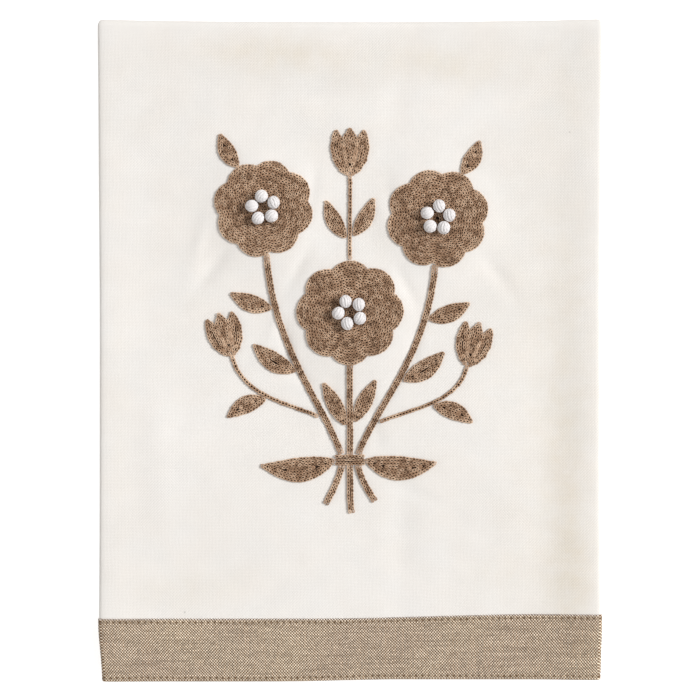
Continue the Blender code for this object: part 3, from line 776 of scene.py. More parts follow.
def cream_material(settings):
    """Washed cream plain weave with faint slubs, tints and specks, painted warm shade in its troughs and
    painted shade in the gaps between its threads.
    """
    finish, sketch, shader = new_material("washed_cream_weave", 0.92, 0.08)
    place = sketch.add("ShaderNodeUVMap", uv_map="Cloth").outputs[0]
    weave, fuzz = weave_looks(sketch, place, settings, CREAM_WEAVE)
    tint = sketch.group(washed_tint_group(), {"Place": place})

    # Painted warm shade, strong in the listed spots, and a faint warm tint in broad patches
    warm_shade_and_tint = sketch.add("ShaderNodeAttribute", attribute_name="tone").outputs["Fac"]
    uneven = sketch.spread(sketch.noise(place, TINT_SCALE, 3.0, 0.6), *NOISE_ENDS, 0.55, 1.30)
    warm_shade_and_tint = sketch.times(warm_shade_and_tint, uneven)
    warm_shade_and_tint = sketch.scaled(tint["Broad"], 0.12, warm_shade_and_tint)
    colour = sketch.colour(warm_shade_and_tint, rgba(settings.colour), rgba(settings.warm_shade_colour))

    # Threads a little lighter or darker than the next, more clearly in some patches than in others
    relief = sketch.spread(sketch.noise(place, RELIEF_SCALE, 3.0, 0.6), 0.34, 0.66, 0.25, 1.0)
    relief = sketch.scaled(warm_shade_and_tint, 0.45, relief)
    tone = sketch.mix(weave["Warp On Top"], weave["Weft Tone"], weave["Warp Tone"])
    slubs = sketch.spread(tone, *TONE_ENDS, 0.027, 0.069)
    change = sketch.scaled(weave["Warp On Top"], -0.094, slubs)
    # Painted shade darkens the gaps between the threads
    change = sketch.minus(change, sketch.spread(weave["Gap"], 0.25, 1.0, -0.003, 0.065))
    change = sketch.times(change, relief)
    for patch, most in (("Small", 0.017), ("Broad", -0.017)):
        change = sketch.plus(change, sketch.spread(tint[patch], 0.0, 1.0, -most, most))
    shade = sketch.plus(1.0, change)
    shade = sketch.times(shade, sketch.scaled(tint["Speck"], -0.22, 1.0))

    # Barely warmer and cooler patches
    hue = sketch.spread(sketch.noise(place, HUE_SCALE), 0.35, 0.65)
    hue = sketch.colour(hue, (1.004, 0.997, 0.988, 1.0), (0.995, 1.001, 1.004, 1.0))
    colour = sketch.tinted(colour, hue)
    sketch.feed(shader.inputs["Base Color"], sketch.dimmed(colour, shade))
    height = sketch.mix(0.22, weave["Height"], fuzz)
    height = sketch.scaled(tone, 0.2, height)
    sketch.feed(shader.inputs["Normal"], sketch.bump(height, settings.weave_depth))
    sketch.feed(shader.inputs["Roughness"], sketch.spread(fuzz, *NOISE_ENDS, 0.86, 0.97))
    return finish


def chambray_material(settings):
    """Brown warp and pale weft, one over one, with slubs, patches, painted shade in the gaps between the
    threads, and two rows of needle holes with painted shade inside them.
    """
    finish, sketch, shader = new_material("chambray_weave", 0.92, 0.04)
    place = sketch.add("ShaderNodeUVMap", uv_map="Cloth").outputs[0]
    weave, fuzz = weave_looks(sketch, place, settings, BAND_WEAVE)
    tint = sketch.group(washed_tint_group(), {"Place": place, "Broad Scale": 34.0})

    # Uneven threads of the two colours, and the cream cloth's threads between the teeth of the seam
    warp_shade, weft_shade = (sketch.spread(weave[tone], *TONE_ENDS) for tone in ("Warp Tone", "Weft Tone"))
    warp = sketch.colour(warp_shade, rgba(settings.warp_colour, 0.70), rgba(settings.warp_colour, 1.35))
    weft = sketch.colour(weft_shade, rgba(settings.weft_colour, 0.68), rgba(settings.weft_colour, 1.15))
    colour = sketch.colour(weave["Warp On Top"], weft, warp)
    seam = sketch.spread(sketch.split(place)[1], SEAM_TEETH, 0.6 * SEAM_TEETH)
    seam = sketch.times(seam, sketch.minus(1.0, weave["Warp On Top"]))
    colour = sketch.colour(seam, colour, rgba(bpy.context.scene.towel_cloth.colour))
    patch = sketch.colour(tint["Broad"], (0.97, 0.92, 0.91, 1.0), (1.08, 1.05, 1.00, 1.0))
    colour = sketch.tinted(colour, patch)
    # Painted shade darkens the gaps between the threads, with a random tone at each crossing
    gap_shade = sketch.spread(weave["Gap"], 0.25, 1.0, 1.0, 0.72)
    gap_shade = sketch.times(gap_shade, sketch.spread(weave["Crossing Tone"], 0.0, 1.0, 0.80, 1.20))
    colour = sketch.dimmed(colour, gap_shade)

    # Two rows of needle holes, with painted shade inside them
    rows = [
        sketch.group(needle_holes_group(), {
            "Cloth Place": place,
            "Row": row,
            "Pitch": settings.stitch_pitch,
            "Radius": HOLE_RADIUS,
        })["Mask"]
        for row in stitch_rows()
    ]
    holes = sketch.math("MAXIMUM", *rows)
    # Painted shade: the holes take the dark warp colour
    colour = sketch.colour(sketch.times(holes, 0.86), colour, rgba(settings.warp_colour))
    sketch.feed(shader.inputs["Base Color"], colour)
    height = sketch.mix(0.2, weave["Height"], fuzz)
    height = sketch.minus(height, sketch.times(holes, 1.5))
    sketch.feed(shader.inputs["Normal"], sketch.bump(height, settings.weave_depth))
    sketch.feed(shader.inputs["Roughness"], sketch.spread(fuzz, *NOISE_ENDS, 0.84, 0.96))
    return finish


def yarn_material(name, colours, depth, twists, sheen):
    """Yarn whose tone comes from each stitch's own attribute, its plies and its fibres."""
    finish, sketch, shader = new_material(name, 0.85, sheen)
    place = sketch.add("ShaderNodeUVMap", uv_map="Cloth").outputs[0]
    where = sketch.add("ShaderNodeTexCoord").outputs["Object"]
    tone = sketch.add("ShaderNodeAttribute", attribute_name="tone").outputs["Fac"]
    yarn = sketch.group(yarn_group(), {"Yarn Place": place, "Object Place": where, "Twists": twists})
    patch = sketch.spread(sketch.noise(where, YARN_PATCH_SCALE), *NOISE_ENDS, -0.10, 0.10)
    level = sketch.plus(tone, sketch.scaled(yarn["Shade"], 0.24, -0.12))
    level = sketch.plus(level, patch)
    ramp = sketch.add("ShaderNodeValToRGB", {0: level})
    stops = ramp.color_ramp.elements
    stops[0].color = colours[0]
    stops[1].color = colours[2]
    stops.new(0.5).color = colours[1]
    sketch.feed(shader.inputs["Base Color"], ramp.outputs[0])
    sketch.feed(shader.inputs["Normal"], sketch.bump(yarn["Height"], depth))
    sketch.feed(shader.inputs["Roughness"], sketch.spread(yarn["Shade"], 0.2, 0.8, 0.78, 0.94))
    return finish


def yarn_finish(name):
    """A yarn's or thread's material by its name, from the settings of the piece that it belongs to."""
    if name in bpy.data.materials:
        return bpy.data.materials[name]
    scene = bpy.context.scene
    yarn = scene.towel_yarn
    shades = {
        "taupe_chain_yarn": ((yarn.shadow_colour, 1.0), (yarn.middle_colour, 1.0), (yarn.light_colour, 1.0)),
        "white_knot_yarn": [(scene.towel_knots.colour, share) for share in (0.84, 0.96, 1.0)],
        "band_thread": [(scene.towel_band.thread_colour, share) for share in (0.5, 1.0, 1.4)],
        "cream_thread": [(scene.towel_cloth.colour, share) for share in (0.72, 0.90, 1.0)],
    }
    colours = [rgba(colour, share) for colour, share in shades[name]]
    return yarn_material(name, colours, **YARNS[name])


def floor_material(settings):
    """Plain pale studio floor with the faintest grain, and a glow that only the camera sees."""
    finish, sketch, shader = new_material("pale_floor", 0.85, 0.0)
    place = sketch.add("ShaderNodeTexCoord").outputs["Object"]
    grain = sketch.spread(sketch.noise(place, FLOOR_SCALE, 4.0), *NOISE_ENDS)
    colour = sketch.colour(grain, rgba(settings.floor_colour, 0.985), rgba(settings.floor_colour))
    seen = sketch.add("ShaderNodeLightPath").outputs["Is Camera Ray"]
    sketch.feed(shader.inputs["Base Color"], colour)
    sketch.feed(shader.inputs["Emission Color"], sketch.colour(seen, (0.0, 0.0, 0.0, 1.0), colour))
    shader.inputs["Emission Strength"].default_value = settings.floor_glow
    sketch.feed(shader.inputs["Normal"], sketch.bump(grain, 0.0001, 0.3))
    return finish


def flat_parts(points, faces, uv, tone):
    """One part of a piece: its points, faces, map by face corner, and tone of each point."""
    return {"points": points, "faces": faces, "uv": uv, "tone": np.broadcast_to(tone, len(points))}


def add_piece(name, parts, finish, nodes):
    """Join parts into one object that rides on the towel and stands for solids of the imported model."""
    points = []
    faces = []
    first = 0
    for part in parts:
        points.append(part["points"])
        faces += [[first + corner for corner in face] for face in part["faces"]]
        first += len(part["points"])
    mesh = bpy.data.meshes.new(name)
    mesh.from_pydata(np.concatenate(points).tolist(), [], faces)
    uv_map = mesh.uv_layers.new(name="Cloth")
    corners = np.concatenate([np.asarray(part["uv"]).reshape(-1, 2) for part in parts])
    uv_map.data.foreach_set("uv", corners.astype(np.float32).ravel())
    tones = mesh.attributes.new("tone", "FLOAT", "POINT")
    tones.data.foreach_set("value", np.concatenate([part["tone"] for part in parts]).astype(np.float32))
    mesh.materials.append(finish)
    mesh.shade_smooth()
    piece = bpy.data.objects.new(name, mesh)
    bpy.context.scene.collection.objects.link(piece)
    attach(piece, "root")
    if nodes:
        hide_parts(*nodes)
    return piece


def sheet_part(place, s_line, u_line, outer, inner, turned=False):
    """A closed thin sheet with rounded rims, from how far its two sides stand out over a grid."""
    rows = len(u_line)
    columns = len(s_line)
    half = 0.5 * (outer - inner)
    middle = 0.5 * (outer + inner)
    rim = RIM_STEP * np.array((1.0, 3.0, 5.0))
    rings_s = []
    rings_u = []
    rings_out = []
    steps = [(0, 2.0 * RIM_STEP, -1.0), (0, RIM_STEP, -1.0)]
    steps += [(i, 0.0, 0.0) for i in range(rows)]
    steps += [(rows - 1, RIM_STEP, 1.0), (rows - 1, 2.0 * RIM_STEP, 1.0)]
    for i, lean, way in steps:
        thin = math.cos(lean)
        thick = half[i] * thin
        right = (s_line[-1] + thick[-1] * np.sin(rim), middle[i][-1] + thick[-1] * np.cos(rim))
        left = (s_line[0] - thick[0] * np.sin(rim), middle[i][0] - thick[0] * np.cos(rim))
        rings_s.append(np.concatenate((s_line, right[0], s_line[::-1], left[0])))
        rings_out.append(np.concatenate((middle[i] + thick, right[1], (middle[i] - thick)[::-1], left[1])))
        around = (half[i], half[i][-1:].repeat(len(rim)), half[i][::-1], half[i][:1].repeat(len(rim)))
        rings_u.append(u_line[i] + way * math.sin(lean) * np.concatenate(around))
    ring_s = np.array(rings_s)
    ring_u = np.array(rings_u)
    points = place(ring_s, ring_u, np.array(rings_out)).reshape(-1, 3)
    side_end = columns + len(rim)
    count = 2 * side_end
    total = len(steps)
    index = np.arange(total * count).reshape(total, count)
    after = np.roll(index, -1, axis=1)
    quads = np.stack((index[:-1], after[:-1], after[1:], index[1:]), axis=-1).reshape(-1, 4)
    faces = quads.tolist()
    for row, flip in ((index[0], True), (index[-1], False)):
        outside = row[:columns]
        inside = row[side_end:side_end + columns][::-1]
        for i in range(columns - 1):
            cap = [outside[i], outside[i + 1], inside[i + 1], inside[i]]
            faces.append([int(c) for c in (cap[::-1] if flip else cap)])
        right = [outside[-1], *row[columns:side_end], inside[-1]]
        left = [inside[0], *row[side_end + columns:], outside[0]]
        for cap in (right, left):
            faces.append([int(c) for c in (cap[::-1] if flip else cap)])
    if turned:
        faces = [face[::-1] for face in faces]
    flat = np.stack((ring_s, ring_u), axis=-1).reshape(-1, 2)
    return flat_parts(points, faces, flat[np.concatenate(faces)], 0.5)


def cloth_columns():
    """Places across the flat cloth, closer by the folds and at the hems."""
    sides = []
    for run in (LEFT_RUN, RIGHT_RUN):
        hem = run - SIDE_HEM
        bend_end = FACE_HALF + BEND_RUN
        side = np.concatenate((
            np.linspace(0.0, FACE_HALF - EDGE_ZONE, FACE_COLUMNS, endpoint=False),
            np.linspace(FACE_HALF - EDGE_ZONE, FACE_HALF, EDGE_COLUMNS, endpoint=False),
            np.linspace(FACE_HALF, bend_end, BEND_COLUMNS, endpoint=False),
            np.linspace(bend_end, hem - HEM_RAMP, FLAP_COLUMNS, endpoint=False),
            np.linspace(hem - HEM_RAMP, hem, HEM_RAMP_STEPS, endpoint=False),
            np.linspace(hem, run, HEM_COLUMNS),
        ))
        sides.append(side)
    return np.concatenate((-sides[0][:0:-1], sides[1]))


def hem_share(s_line):
    """How much of a place belongs to the turned side hems, from 0 to 1."""
    run = np.where(s_line < 0.0, LEFT_RUN, RIGHT_RUN)
    return smooth_step((np.abs(s_line) - run + SIDE_HEM + HEM_RAMP) / HEM_RAMP)


class TowelCloth(bpy.types.PropertyGroup):
    """Cream cloth."""

    thread_pitch: FloatProperty(
        name="Thread Spacing", description="Distance from one thread to the next", default=0.00056,
        min=0.0002, max=0.003, precision=5, unit="LENGTH")
    weave_depth: FloatProperty(
        name="Weave Depth", description="How far the threads stand up", default=0.00006,
        min=0.0, max=0.001, precision=5, unit="LENGTH")
    stitch_pitch: FloatProperty(
        name="Hem Stitch Spacing", description="Distance from one hem stitch to the next", default=0.0030,
        min=0.001, max=0.01, precision=4, unit="LENGTH")
    colour: FloatVectorProperty(
        name="Colour", description="Colour of the washed cloth", default=(0.890, 0.869, 0.847),
        min=0.0, max=1.0, subtype="COLOR")
    # Painted shade: the warm, darker colour of the face's troughs and slopes
    warm_shade_colour: FloatVectorProperty(
        name="Warm Tint", description="Colour of its faint warm patches", default=(0.838, 0.780, 0.690),
        min=0.0, max=1.0, subtype="COLOR")


class TowelBand(bpy.types.PropertyGroup):
    """Contrast band."""

    thread_pitch: FloatProperty(
        name="Thread Spacing", description="Distance from one thread to the next", default=0.000565,
        min=0.0002, max=0.003, precision=6, unit="LENGTH")
    weave_depth: FloatProperty(
        name="Weave Depth", description="How far the threads stand up", default=0.00018,
        min=0.0, max=0.001, precision=5, unit="LENGTH")
    stitch_pitch: FloatProperty(
        name="Stitch Spacing", description="Distance from one stitch to the next", default=0.00256,
        min=0.001, max=0.01, precision=5, unit="LENGTH")
    stitch_inset: FloatProperty(
        name="Stitch Inset", description="Distance of each row from the band's edge", default=0.0014,
        min=0.0005, max=0.01, precision=4, unit="LENGTH")
    warp_colour: FloatVectorProperty(
        name="Warp Colour", description="Colour of the brown threads", default=(0.152, 0.080, 0.030),
        min=0.0, max=1.0, subtype="COLOR")
    weft_colour: FloatVectorProperty(
        name="Weft Colour", description="Colour of the pale threads", default=(0.895, 0.795, 0.655),
        min=0.0, max=1.0, subtype="COLOR")
    thread_colour: FloatVectorProperty(
        name="Thread Colour", description="Colour of the sewing thread", default=(0.500, 0.390, 0.275),
        min=0.0, max=1.0, subtype="COLOR")


class TowelYarn(bpy.types.PropertyGroup):
    """Taupe yarn of the posy."""

    radius: FloatProperty(
        name="Yarn Radius", description="Half the yarn's thickness in a stitch", default=0.00023,
        min=0.0001, max=0.001, precision=5, unit="LENGTH")
    # Painted shade: the colour of the dark pads between the stitches and of the yarn's darkest tones
    shadow_colour: FloatVectorProperty(
        name="Shadow Colour", description="Colour between the stitches", default=(0.030, 0.013, 0.006),
        min=0.0, max=1.0, subtype="COLOR")
    middle_colour: FloatVectorProperty(
        name="Yarn Colour", description="Colour of the yarn's body", default=(0.420, 0.254, 0.156),
        min=0.0, max=1.0, subtype="COLOR")
    light_colour: FloatVectorProperty(
        name="Light Colour", description="Colour of the yarn's palest stitches",
        default=(0.820, 0.600, 0.430), min=0.0, max=1.0, subtype="COLOR")


class TowelKnots(bpy.types.PropertyGroup):
    """White wound knots."""

    yarn_radius: FloatProperty(
        name="Yarn Radius", description="Half the thickness of a knot's yarn", default=0.00046,
        min=0.0002, max=0.002, precision=5, unit="LENGTH")
    turns: IntProperty(name="Turns", description="Turns of yarn in a knot", default=6, min=2, max=8)
    colour: FloatVectorProperty(
        name="Colour", description="Colour of the white yarn", default=(0.840, 0.818, 0.826),
        min=0.0, max=1.0, subtype="COLOR")


class TowelStage(bpy.types.PropertyGroup):
    """Floor, lights and camera."""

    floor_size: FloatProperty(
        name="Floor Size", description="Length of the floor's sides", default=6.0, min=1.0, unit="LENGTH")
    floor_colour: FloatVectorProperty(
        name="Floor Colour", description="Colour of the pale floor", default=(0.93, 0.93, 0.93),
        min=0.0, max=1.0, subtype="COLOR")
    floor_glow: FloatProperty(
        name="Floor Glow", description="Light that the white floor gives off, as a lit table does",
        default=0.68, min=0.0)
    lens: FloatProperty(
        name="Lens", description="Focal length of the camera in millimetres", default=100.0, min=20.0)
    height: FloatProperty(
        name="Camera Height", description="Height of the camera above the floor", default=0.792,
        min=0.1, unit="LENGTH")
    key_power: FloatProperty(
        name="Key Light", description="Power of the large soft light", default=1250.0, min=0.0, unit="POWER")
    fill_power: FloatProperty(
        name="Fill Light", description="Power of the weak light from the other side", default=160.0, min=0.0,
        unit="POWER")
    sky: FloatProperty(
        name="Room Light", description="Strength of the even light from all round", default=0.45, min=0.0)


def deselect_all():
    """Leave edit mode and deselect everything."""
    if bpy.context.mode != "OBJECT":
        bpy.ops.object.mode_set(mode="OBJECT")
    bpy.ops.object.select_all(action="DESELECT")


def read_template(template):
    """A shaped object's points, faces and map as plain arrays, after which the object is removed."""
    mesh = template.data
    points = np.array([vertex.co for vertex in mesh.vertices])
    faces = [list(polygon.vertices) for polygon in mesh.polygons]
    uv = np.zeros((len(mesh.loops), 2))
    if mesh.uv_layers:
        uv = np.array([corner.uv for corner in mesh.uv_layers.active.data])
    bpy.data.objects.remove(template, do_unlink=True)
    bpy.data.meshes.remove(mesh)
    return {"points": points, "faces": faces, "uv": uv}


def edit_points(mesh, chosen):
    """Select only these points of a mesh in edit mode."""
    bpy.ops.mesh.select_all(action="DESELECT")
    for vertex in chosen:
        vertex.select = True
    bmesh.update_edit_mesh(mesh)


def shape_loop(radius):
    """One loop of chain stitch: a ring of yarn drawn out to a drop, its narrow end lifted."""
    deselect_all()
    ring_radius = 0.5 * LOOP_WIDTH - radius
    bpy.ops.mesh.primitive_torus_add(
        major_segments=LOOP_STEPS, minor_segments=LOOP_SIDES, major_radius=ring_radius, minor_radius=radius)
    loop = bpy.context.object
    bpy.ops.object.mode_set(mode="EDIT")
    shape = bmesh.from_edit_mesh(loop.data)
    rings = {}
    for vertex in shape.verts:
        step = round(math.atan2(vertex.co.y, vertex.co.x) / (2.0 * math.pi) * LOOP_STEPS) % LOOP_STEPS
        rings.setdefault(step, []).append(vertex)
    half_length = 0.5 * LOOP_LENGTH - radius
    for step, ring in rings.items():
        angle = 2.0 * math.pi * step / LOOP_STEPS
        cos = math.cos(angle)
        forward = (half_length - ring_radius) * cos
        aside = -ring_radius * math.sin(angle) * LOOP_NARROWING * (1.0 - cos)
        lift = LOOP_LIFT * radius * (1.0 - cos) - LOOP_DIP * radius * max(0.0, -cos) ** LOOP_DIP_SHARPNESS
        edit_points(loop.data, ring)
        bpy.ops.transform.translate(value=(forward, aside, lift))
    bpy.ops.object.mode_set(mode="OBJECT")
    return read_template(loop)


def shape_stitch(length, width):
    """One straight stitch: a ball drawn out to a grain whose ends dip into the cloth."""
    deselect_all()
    bpy.ops.mesh.primitive_uv_sphere_add(
        segments=STITCH_SIDES, ring_count=STITCH_SIDES, radius=0.5, rotation=(0.0, math.pi / 2, 0.0))
    stitch = bpy.context.object
    bpy.ops.object.transform_apply(location=True, rotation=True, scale=True)
    bpy.ops.object.mode_set(mode="EDIT")
    bpy.ops.mesh.select_all(action="SELECT")
    bpy.ops.transform.resize(value=(length, width, width))
    shape = bmesh.from_edit_mesh(stitch.data)
    ends = [vertex for vertex in shape.verts if abs(vertex.co.x) > STITCH_END * length]
    edit_points(stitch.data, ends)
    bpy.ops.transform.translate(value=(0.0, 0.0, -STITCH_DIP))
    bpy.ops.object.mode_set(mode="OBJECT")
    return read_template(stitch)


def wind(turns, radius, yarn, tilt, share):
    """Yarn wound round a ball as a curve turned into a mesh, from one pole towards the other."""
    steps = round(turns * WRAP_STEPS)
    curve = bpy.data.curves.new("winding", "CURVE")
    curve.dimensions = "3D"
    curve.bevel_depth = yarn
    curve.bevel_resolution = 1
    curve.use_fill_caps = True
    spline = curve.splines.new("POLY")
    spline.points.add(steps)
    first = 0.5 * math.pi * (1.0 - share)
    for i, point in enumerate(spline.points):
        polar = first + math.pi * share * i / steps
        around = 2.0 * math.pi * turns * i / steps
        x = radius * math.sin(polar) * math.cos(around)
        y = radius * math.sin(polar) * math.sin(around)
        z = radius * math.cos(polar)
        tilted_z = z * math.cos(tilt) - x * math.sin(tilt)
        point.co = (x * math.cos(tilt) + z * math.sin(tilt), y, tilted_z, 1.0)
    winding = bpy.data.objects.new("winding", curve)
    bpy.context.scene.collection.objects.link(winding)
    return winding


def shape_knot(settings):
    """One wound knot: yarn wrapped round a core from end to end, and a few wraps across it."""
    deselect_all()
    yarn = settings.yarn_radius
    radius = KNOT_RADIUS - yarn
    wraps = [
        wind(turns, radius + out * yarn, thickness * yarn, tilt, share)
        for turns, out, thickness, tilt, share in ((settings.turns, 0.0, 1.0, 0.0, WRAP_SHARE), *CROSS_WRAPS)
    ]
    for winding in wraps:
        winding.select_set(True)
    bpy.context.view_layer.objects.active = wraps[0]
    bpy.ops.object.convert(target="MESH")
    bpy.ops.object.join()
    knot = bpy.context.object
    bpy.ops.object.mode_set(mode="EDIT")
    bpy.ops.mesh.select_all(action="DESELECT")
    bpy.ops.mesh.primitive_uv_sphere_add(
        segments=16, ring_count=10, radius=radius + KNOT_CORE * yarn, calc_uvs=False)
    bpy.ops.object.mode_set(mode="OBJECT")
    return read_template(knot)


def turned_points(points, lean, spin):
    """Points leant over and then turned about the upright."""
    x, y, z = points.T
    ahead = x * math.cos(lean) + z * math.sin(lean)
    up = z * math.cos(lean) - x * math.sin(lean)
    turned_x = ahead * math.cos(spin) - y * math.sin(spin)
    turned_y = ahead * math.sin(spin) + y * math.cos(spin)
    return np.stack((turned_x, turned_y, up), axis=-1)


def sew(template, places):
    """Copies of a small shape laid on the cloth: places has x, y, turn, length, width, tone and out."""
    places = np.asarray(places)
    x, y, turn, length, width, tone, out = places.T
    ahead = template["points"][:, 0] * length[:, None]
    aside = template["points"][:, 1] * width[:, None]
    up = template["points"][:, 2]
    cos = np.cos(turn)[:, None]
    sin = np.sin(turn)[:, None]
    s = x[:, None] + ahead * cos - aside * sin
    t = y[:, None] - SEAM_Y + ahead * sin + aside * cos
    points = lay(s, t, out[:, None] + up).reshape(-1, 3)
    size = len(template["points"])
    faces = []
    for first in range(0, len(places) * size, size):
        faces += [[first + corner for corner in face] for face in template["faces"]]
    uv = np.tile(template["uv"], (len(places), 1))
    return flat_parts(points, faces, uv, np.repeat(tone, size))


def walk(route, step):
    """Even places along a route: their points and the way each faces."""
    route = np.asarray(route, float)
    runs = np.concatenate(([0.0], np.cumsum(np.hypot(*np.diff(route, axis=0).T))))
    count = max(1, round(runs[-1] / step))
    at = (np.arange(count) + 0.5) * runs[-1] / count
    reach = HEADING_REACH * step
    middle, back, front = (
        np.stack((np.interp(a, runs, route[:, 0]), np.interp(a, runs, route[:, 1])), axis=-1)
        for a in (at, at - reach, at + reach)
    )
    way = front - back
    return middle, np.arctan2(way[:, 1], way[:, 0])


def chain(route, rng, tone=0.0, width=1.0, rise=0.0):
    """Rows of places for one row of chain stitch along a route."""
    middle, turn = walk(route, LOOP_PITCH)
    count = len(middle)
    middle = middle + rng.uniform(-LOOP_SHIFT, LOOP_SHIFT, (count, 2))
    turn = turn + rng.uniform(-LOOP_TURN_RANGE, LOOP_TURN_RANGE, count)
    lengths = rng.uniform(*LOOP_LENGTH_SHARES, count)
    widths = width * rng.uniform(*LOOP_WIDTH_SHARES, count)
    tones = LOOP_TONE + tone + rng.uniform(-LOOP_TONE_RANGE, LOOP_TONE_RANGE, count)
    outs = LOOP_REST + rise + rng.uniform(*LOOP_OUT_RANGE, count)
    return np.column_stack((middle, turn, lengths, widths, tones, outs))


def shade_pad_part(x, y, closed=False, rise=0.0):
    """A thin closed dark pad under a patch of stitches, painted shade that shows between them, from a grid of
    its points.
    """
    rows, columns = x.shape
    top = np.full(x.shape, PAD_TOP + rise)
    top[:, -1] = PAD_EDGE
    if not closed:
        top[:, 0] = PAD_EDGE
        top[0] = PAD_EDGE
        top[-1] = PAD_EDGE
    points = np.concatenate([lay(x, y - SEAM_Y, out).reshape(-1, 3) for out in (PAD_FOOT, top)])
    index = np.arange(rows * columns).reshape(rows, columns)
    if closed:
        index = np.concatenate((index, index[:1]))
    lift = rows * columns
    cells = np.stack((index[:-1, :-1], index[:-1, 1:], index[1:, 1:], index[1:, :-1]), axis=-1).reshape(-1, 4)
    around = cells[0]
    corners = np.stack((x.ravel()[around], y.ravel()[around]), axis=-1)
    after = np.roll(corners, -1, axis=0)
    if np.sum(corners[:, 0] * after[:, 1] - corners[:, 1] * after[:, 0]) < 0.0:
        cells = cells[:, ::-1]
    edges = [edge for face in cells.tolist() for edge in zip(face, face[1:] + face[:1])]
    inner = set(edges)
    faces = (cells + lift).tolist() + cells[:, ::-1].tolist()
    faces += [[a, b, b + lift, a + lift] for a, b in edges if (b, a) not in inner]
    place = np.tile(np.stack((x.ravel(), y.ravel()), axis=-1), (2, 1))
    return flat_parts(points, faces, place[np.concatenate(faces)], SHADE_PAD_TONE)


def curve_point(route, t):
    """Point and heading on a stem's smooth curve."""
    weights = ((1 - t) ** 3, 3 * t * (1 - t) ** 2, 3 * t * t * (1 - t), t ** 3)
    slopes = (-3 * (1 - t) ** 2, 3 * (1 - t) * (1 - 3 * t), 3 * t * (2 - 3 * t), 3 * t * t)
    place = [sum(w * p[k] for w, p in zip(weights, route)) for k in (0, 1)]
    heading = [sum(s * p[k] for s, p in zip(slopes, route)) for k in (0, 1)]
    size = math.hypot(*heading)
    return place, (heading[0] / size, heading[1] / size)


def find(rows, name):
    """The row of a table with this name."""
    return next(row for row in rows if row["name"] == name)


def beside(stem, share, side, clearance):
    """A point just clear of one side of a stem."""
    (x, y), (dx, dy) = curve_point(stem_route(stem), share)
    reach = side * (0.5 * stem["width"] + clearance)
    return x - reach * dy, y + reach * dx


def stem_route(stem):
    """The four points of a stem's curve, the first worked out where it branches from another."""
    if stem["branch_of"] is None:
        return stem["route"]
    start = beside(find(STEMS, stem["branch_of"]), stem["at"], stem["side"], BRANCH_CLEARANCE)
    return [start] + stem["route"]


def rosette_radius(angle, rosette):
    """Scalloped outline of a rosette with slightly uneven petals."""
    turned = angle - math.radians(rosette["turn"])
    scallop = np.abs(np.sin(0.5 * PETALS * turned)) ** PETAL_ROUNDNESS
    uneven = 1.0 + sum(share * np.sin(turns * angle + start) for share, turns, start in PETAL_UNEVENNESS)
    return rosette["radius"] * uneven * (1.0 - PETAL_DEPTH * (1.0 - scallop))


def leaf_foot(leaf):
    """Where a leaf starts, just clear of the tie, stem or rosette that carries it."""
    if leaf["on"] == "tie":
        return leaf["side"] * (0.5 * TIE_LENGTH + LEAF_CLEARANCE), TIE_Y
    if leaf["on"].startswith("rosette"):
        rosette = find(ROSETTES, leaf["on"].split()[1])
        angle = math.radians(leaf["at"])
        radius = rosette_radius(angle, rosette) + END_CLEARANCE
        return rosette["x"] + radius * math.cos(angle), rosette["y"] + radius * math.sin(angle)
    return beside(find(STEMS, leaf["on"]), leaf["at"], leaf["side"], LEAF_CLEARANCE)


def add_patch(name, pads, template, rows):
    """One patch of chain stitch in taupe yarn: its dark pads of painted shade, and a loop at each place of
    its rows.
    """
    parts = pads + [sew(template, np.concatenate(rows))]
    add_piece(f"{name}_stitches", parts, yarn_finish("taupe_chain_yarn"), [name])


def blade(foot, points, length, low, high, rng, rise=0.0, bow=0.0):
    """Rows of chain stitch, and the dark pad of painted shade under them, of a pointed shape between two
    edges, each a function along it.
    """
    angle = math.radians(points)
    u = np.linspace(0.0, 1.0, BLADE_STEPS)
    middle = bow * 4.0 * u * (1.0 - u)

    def turned(along, aside):
        x = foot[0] + along * length * math.cos(angle) - aside * math.sin(angle)
        y = MOTIF_Y + foot[1] + along * length * math.sin(angle) + aside * math.cos(angle)
        return x, y

    lower = low(u) + middle
    upper = high(u) + middle
    inset = 0.5 * ROW_PITCH
    places = []
    while np.max(upper - lower) > 2.0 * inset - 0.5 * ROW_PITCH:
        room = upper - lower - 2.0 * inset
        if np.max(room) > RING_ROOM:
            keep = room > 0.0
            over = (upper - inset)[keep]
            under = (lower + inset)[keep]
            along = np.concatenate((u[keep], u[keep][::-1], u[keep][:1]))
            aside = np.concatenate((over, under[::-1], over[:1]))
        else:
            keep = room > LINE_ROOM
            along = u[keep]
            aside = (0.5 * (upper + lower))[keep]
        tone = 0.0 if places else EDGE_ROW_TONE
        if len(along) >= FEWEST_SPOTS:
            places.append(chain(np.stack(turned(along, aside), axis=-1), rng, tone, rise=rise))
        inset += ROW_PITCH

    # The pad of painted shade takes every third step of the edges and stays clear of both ends
    inner = u[3:-3:3]
    edge_low = np.interp(inner, u, lower) + PAD_INSET
    edge_high = np.interp(inner, u, upper) - PAD_INSET
    wide = edge_high - edge_low > PAD_LEAST_WIDTH
    grid = edge_high[:, None] + np.linspace(0.0, 1.0, 5) * (edge_low - edge_high)[:, None]
    x, y = turned(inner[wide][:, None], grid[wide])
    return places, shade_pad_part(x, y, rise=rise)


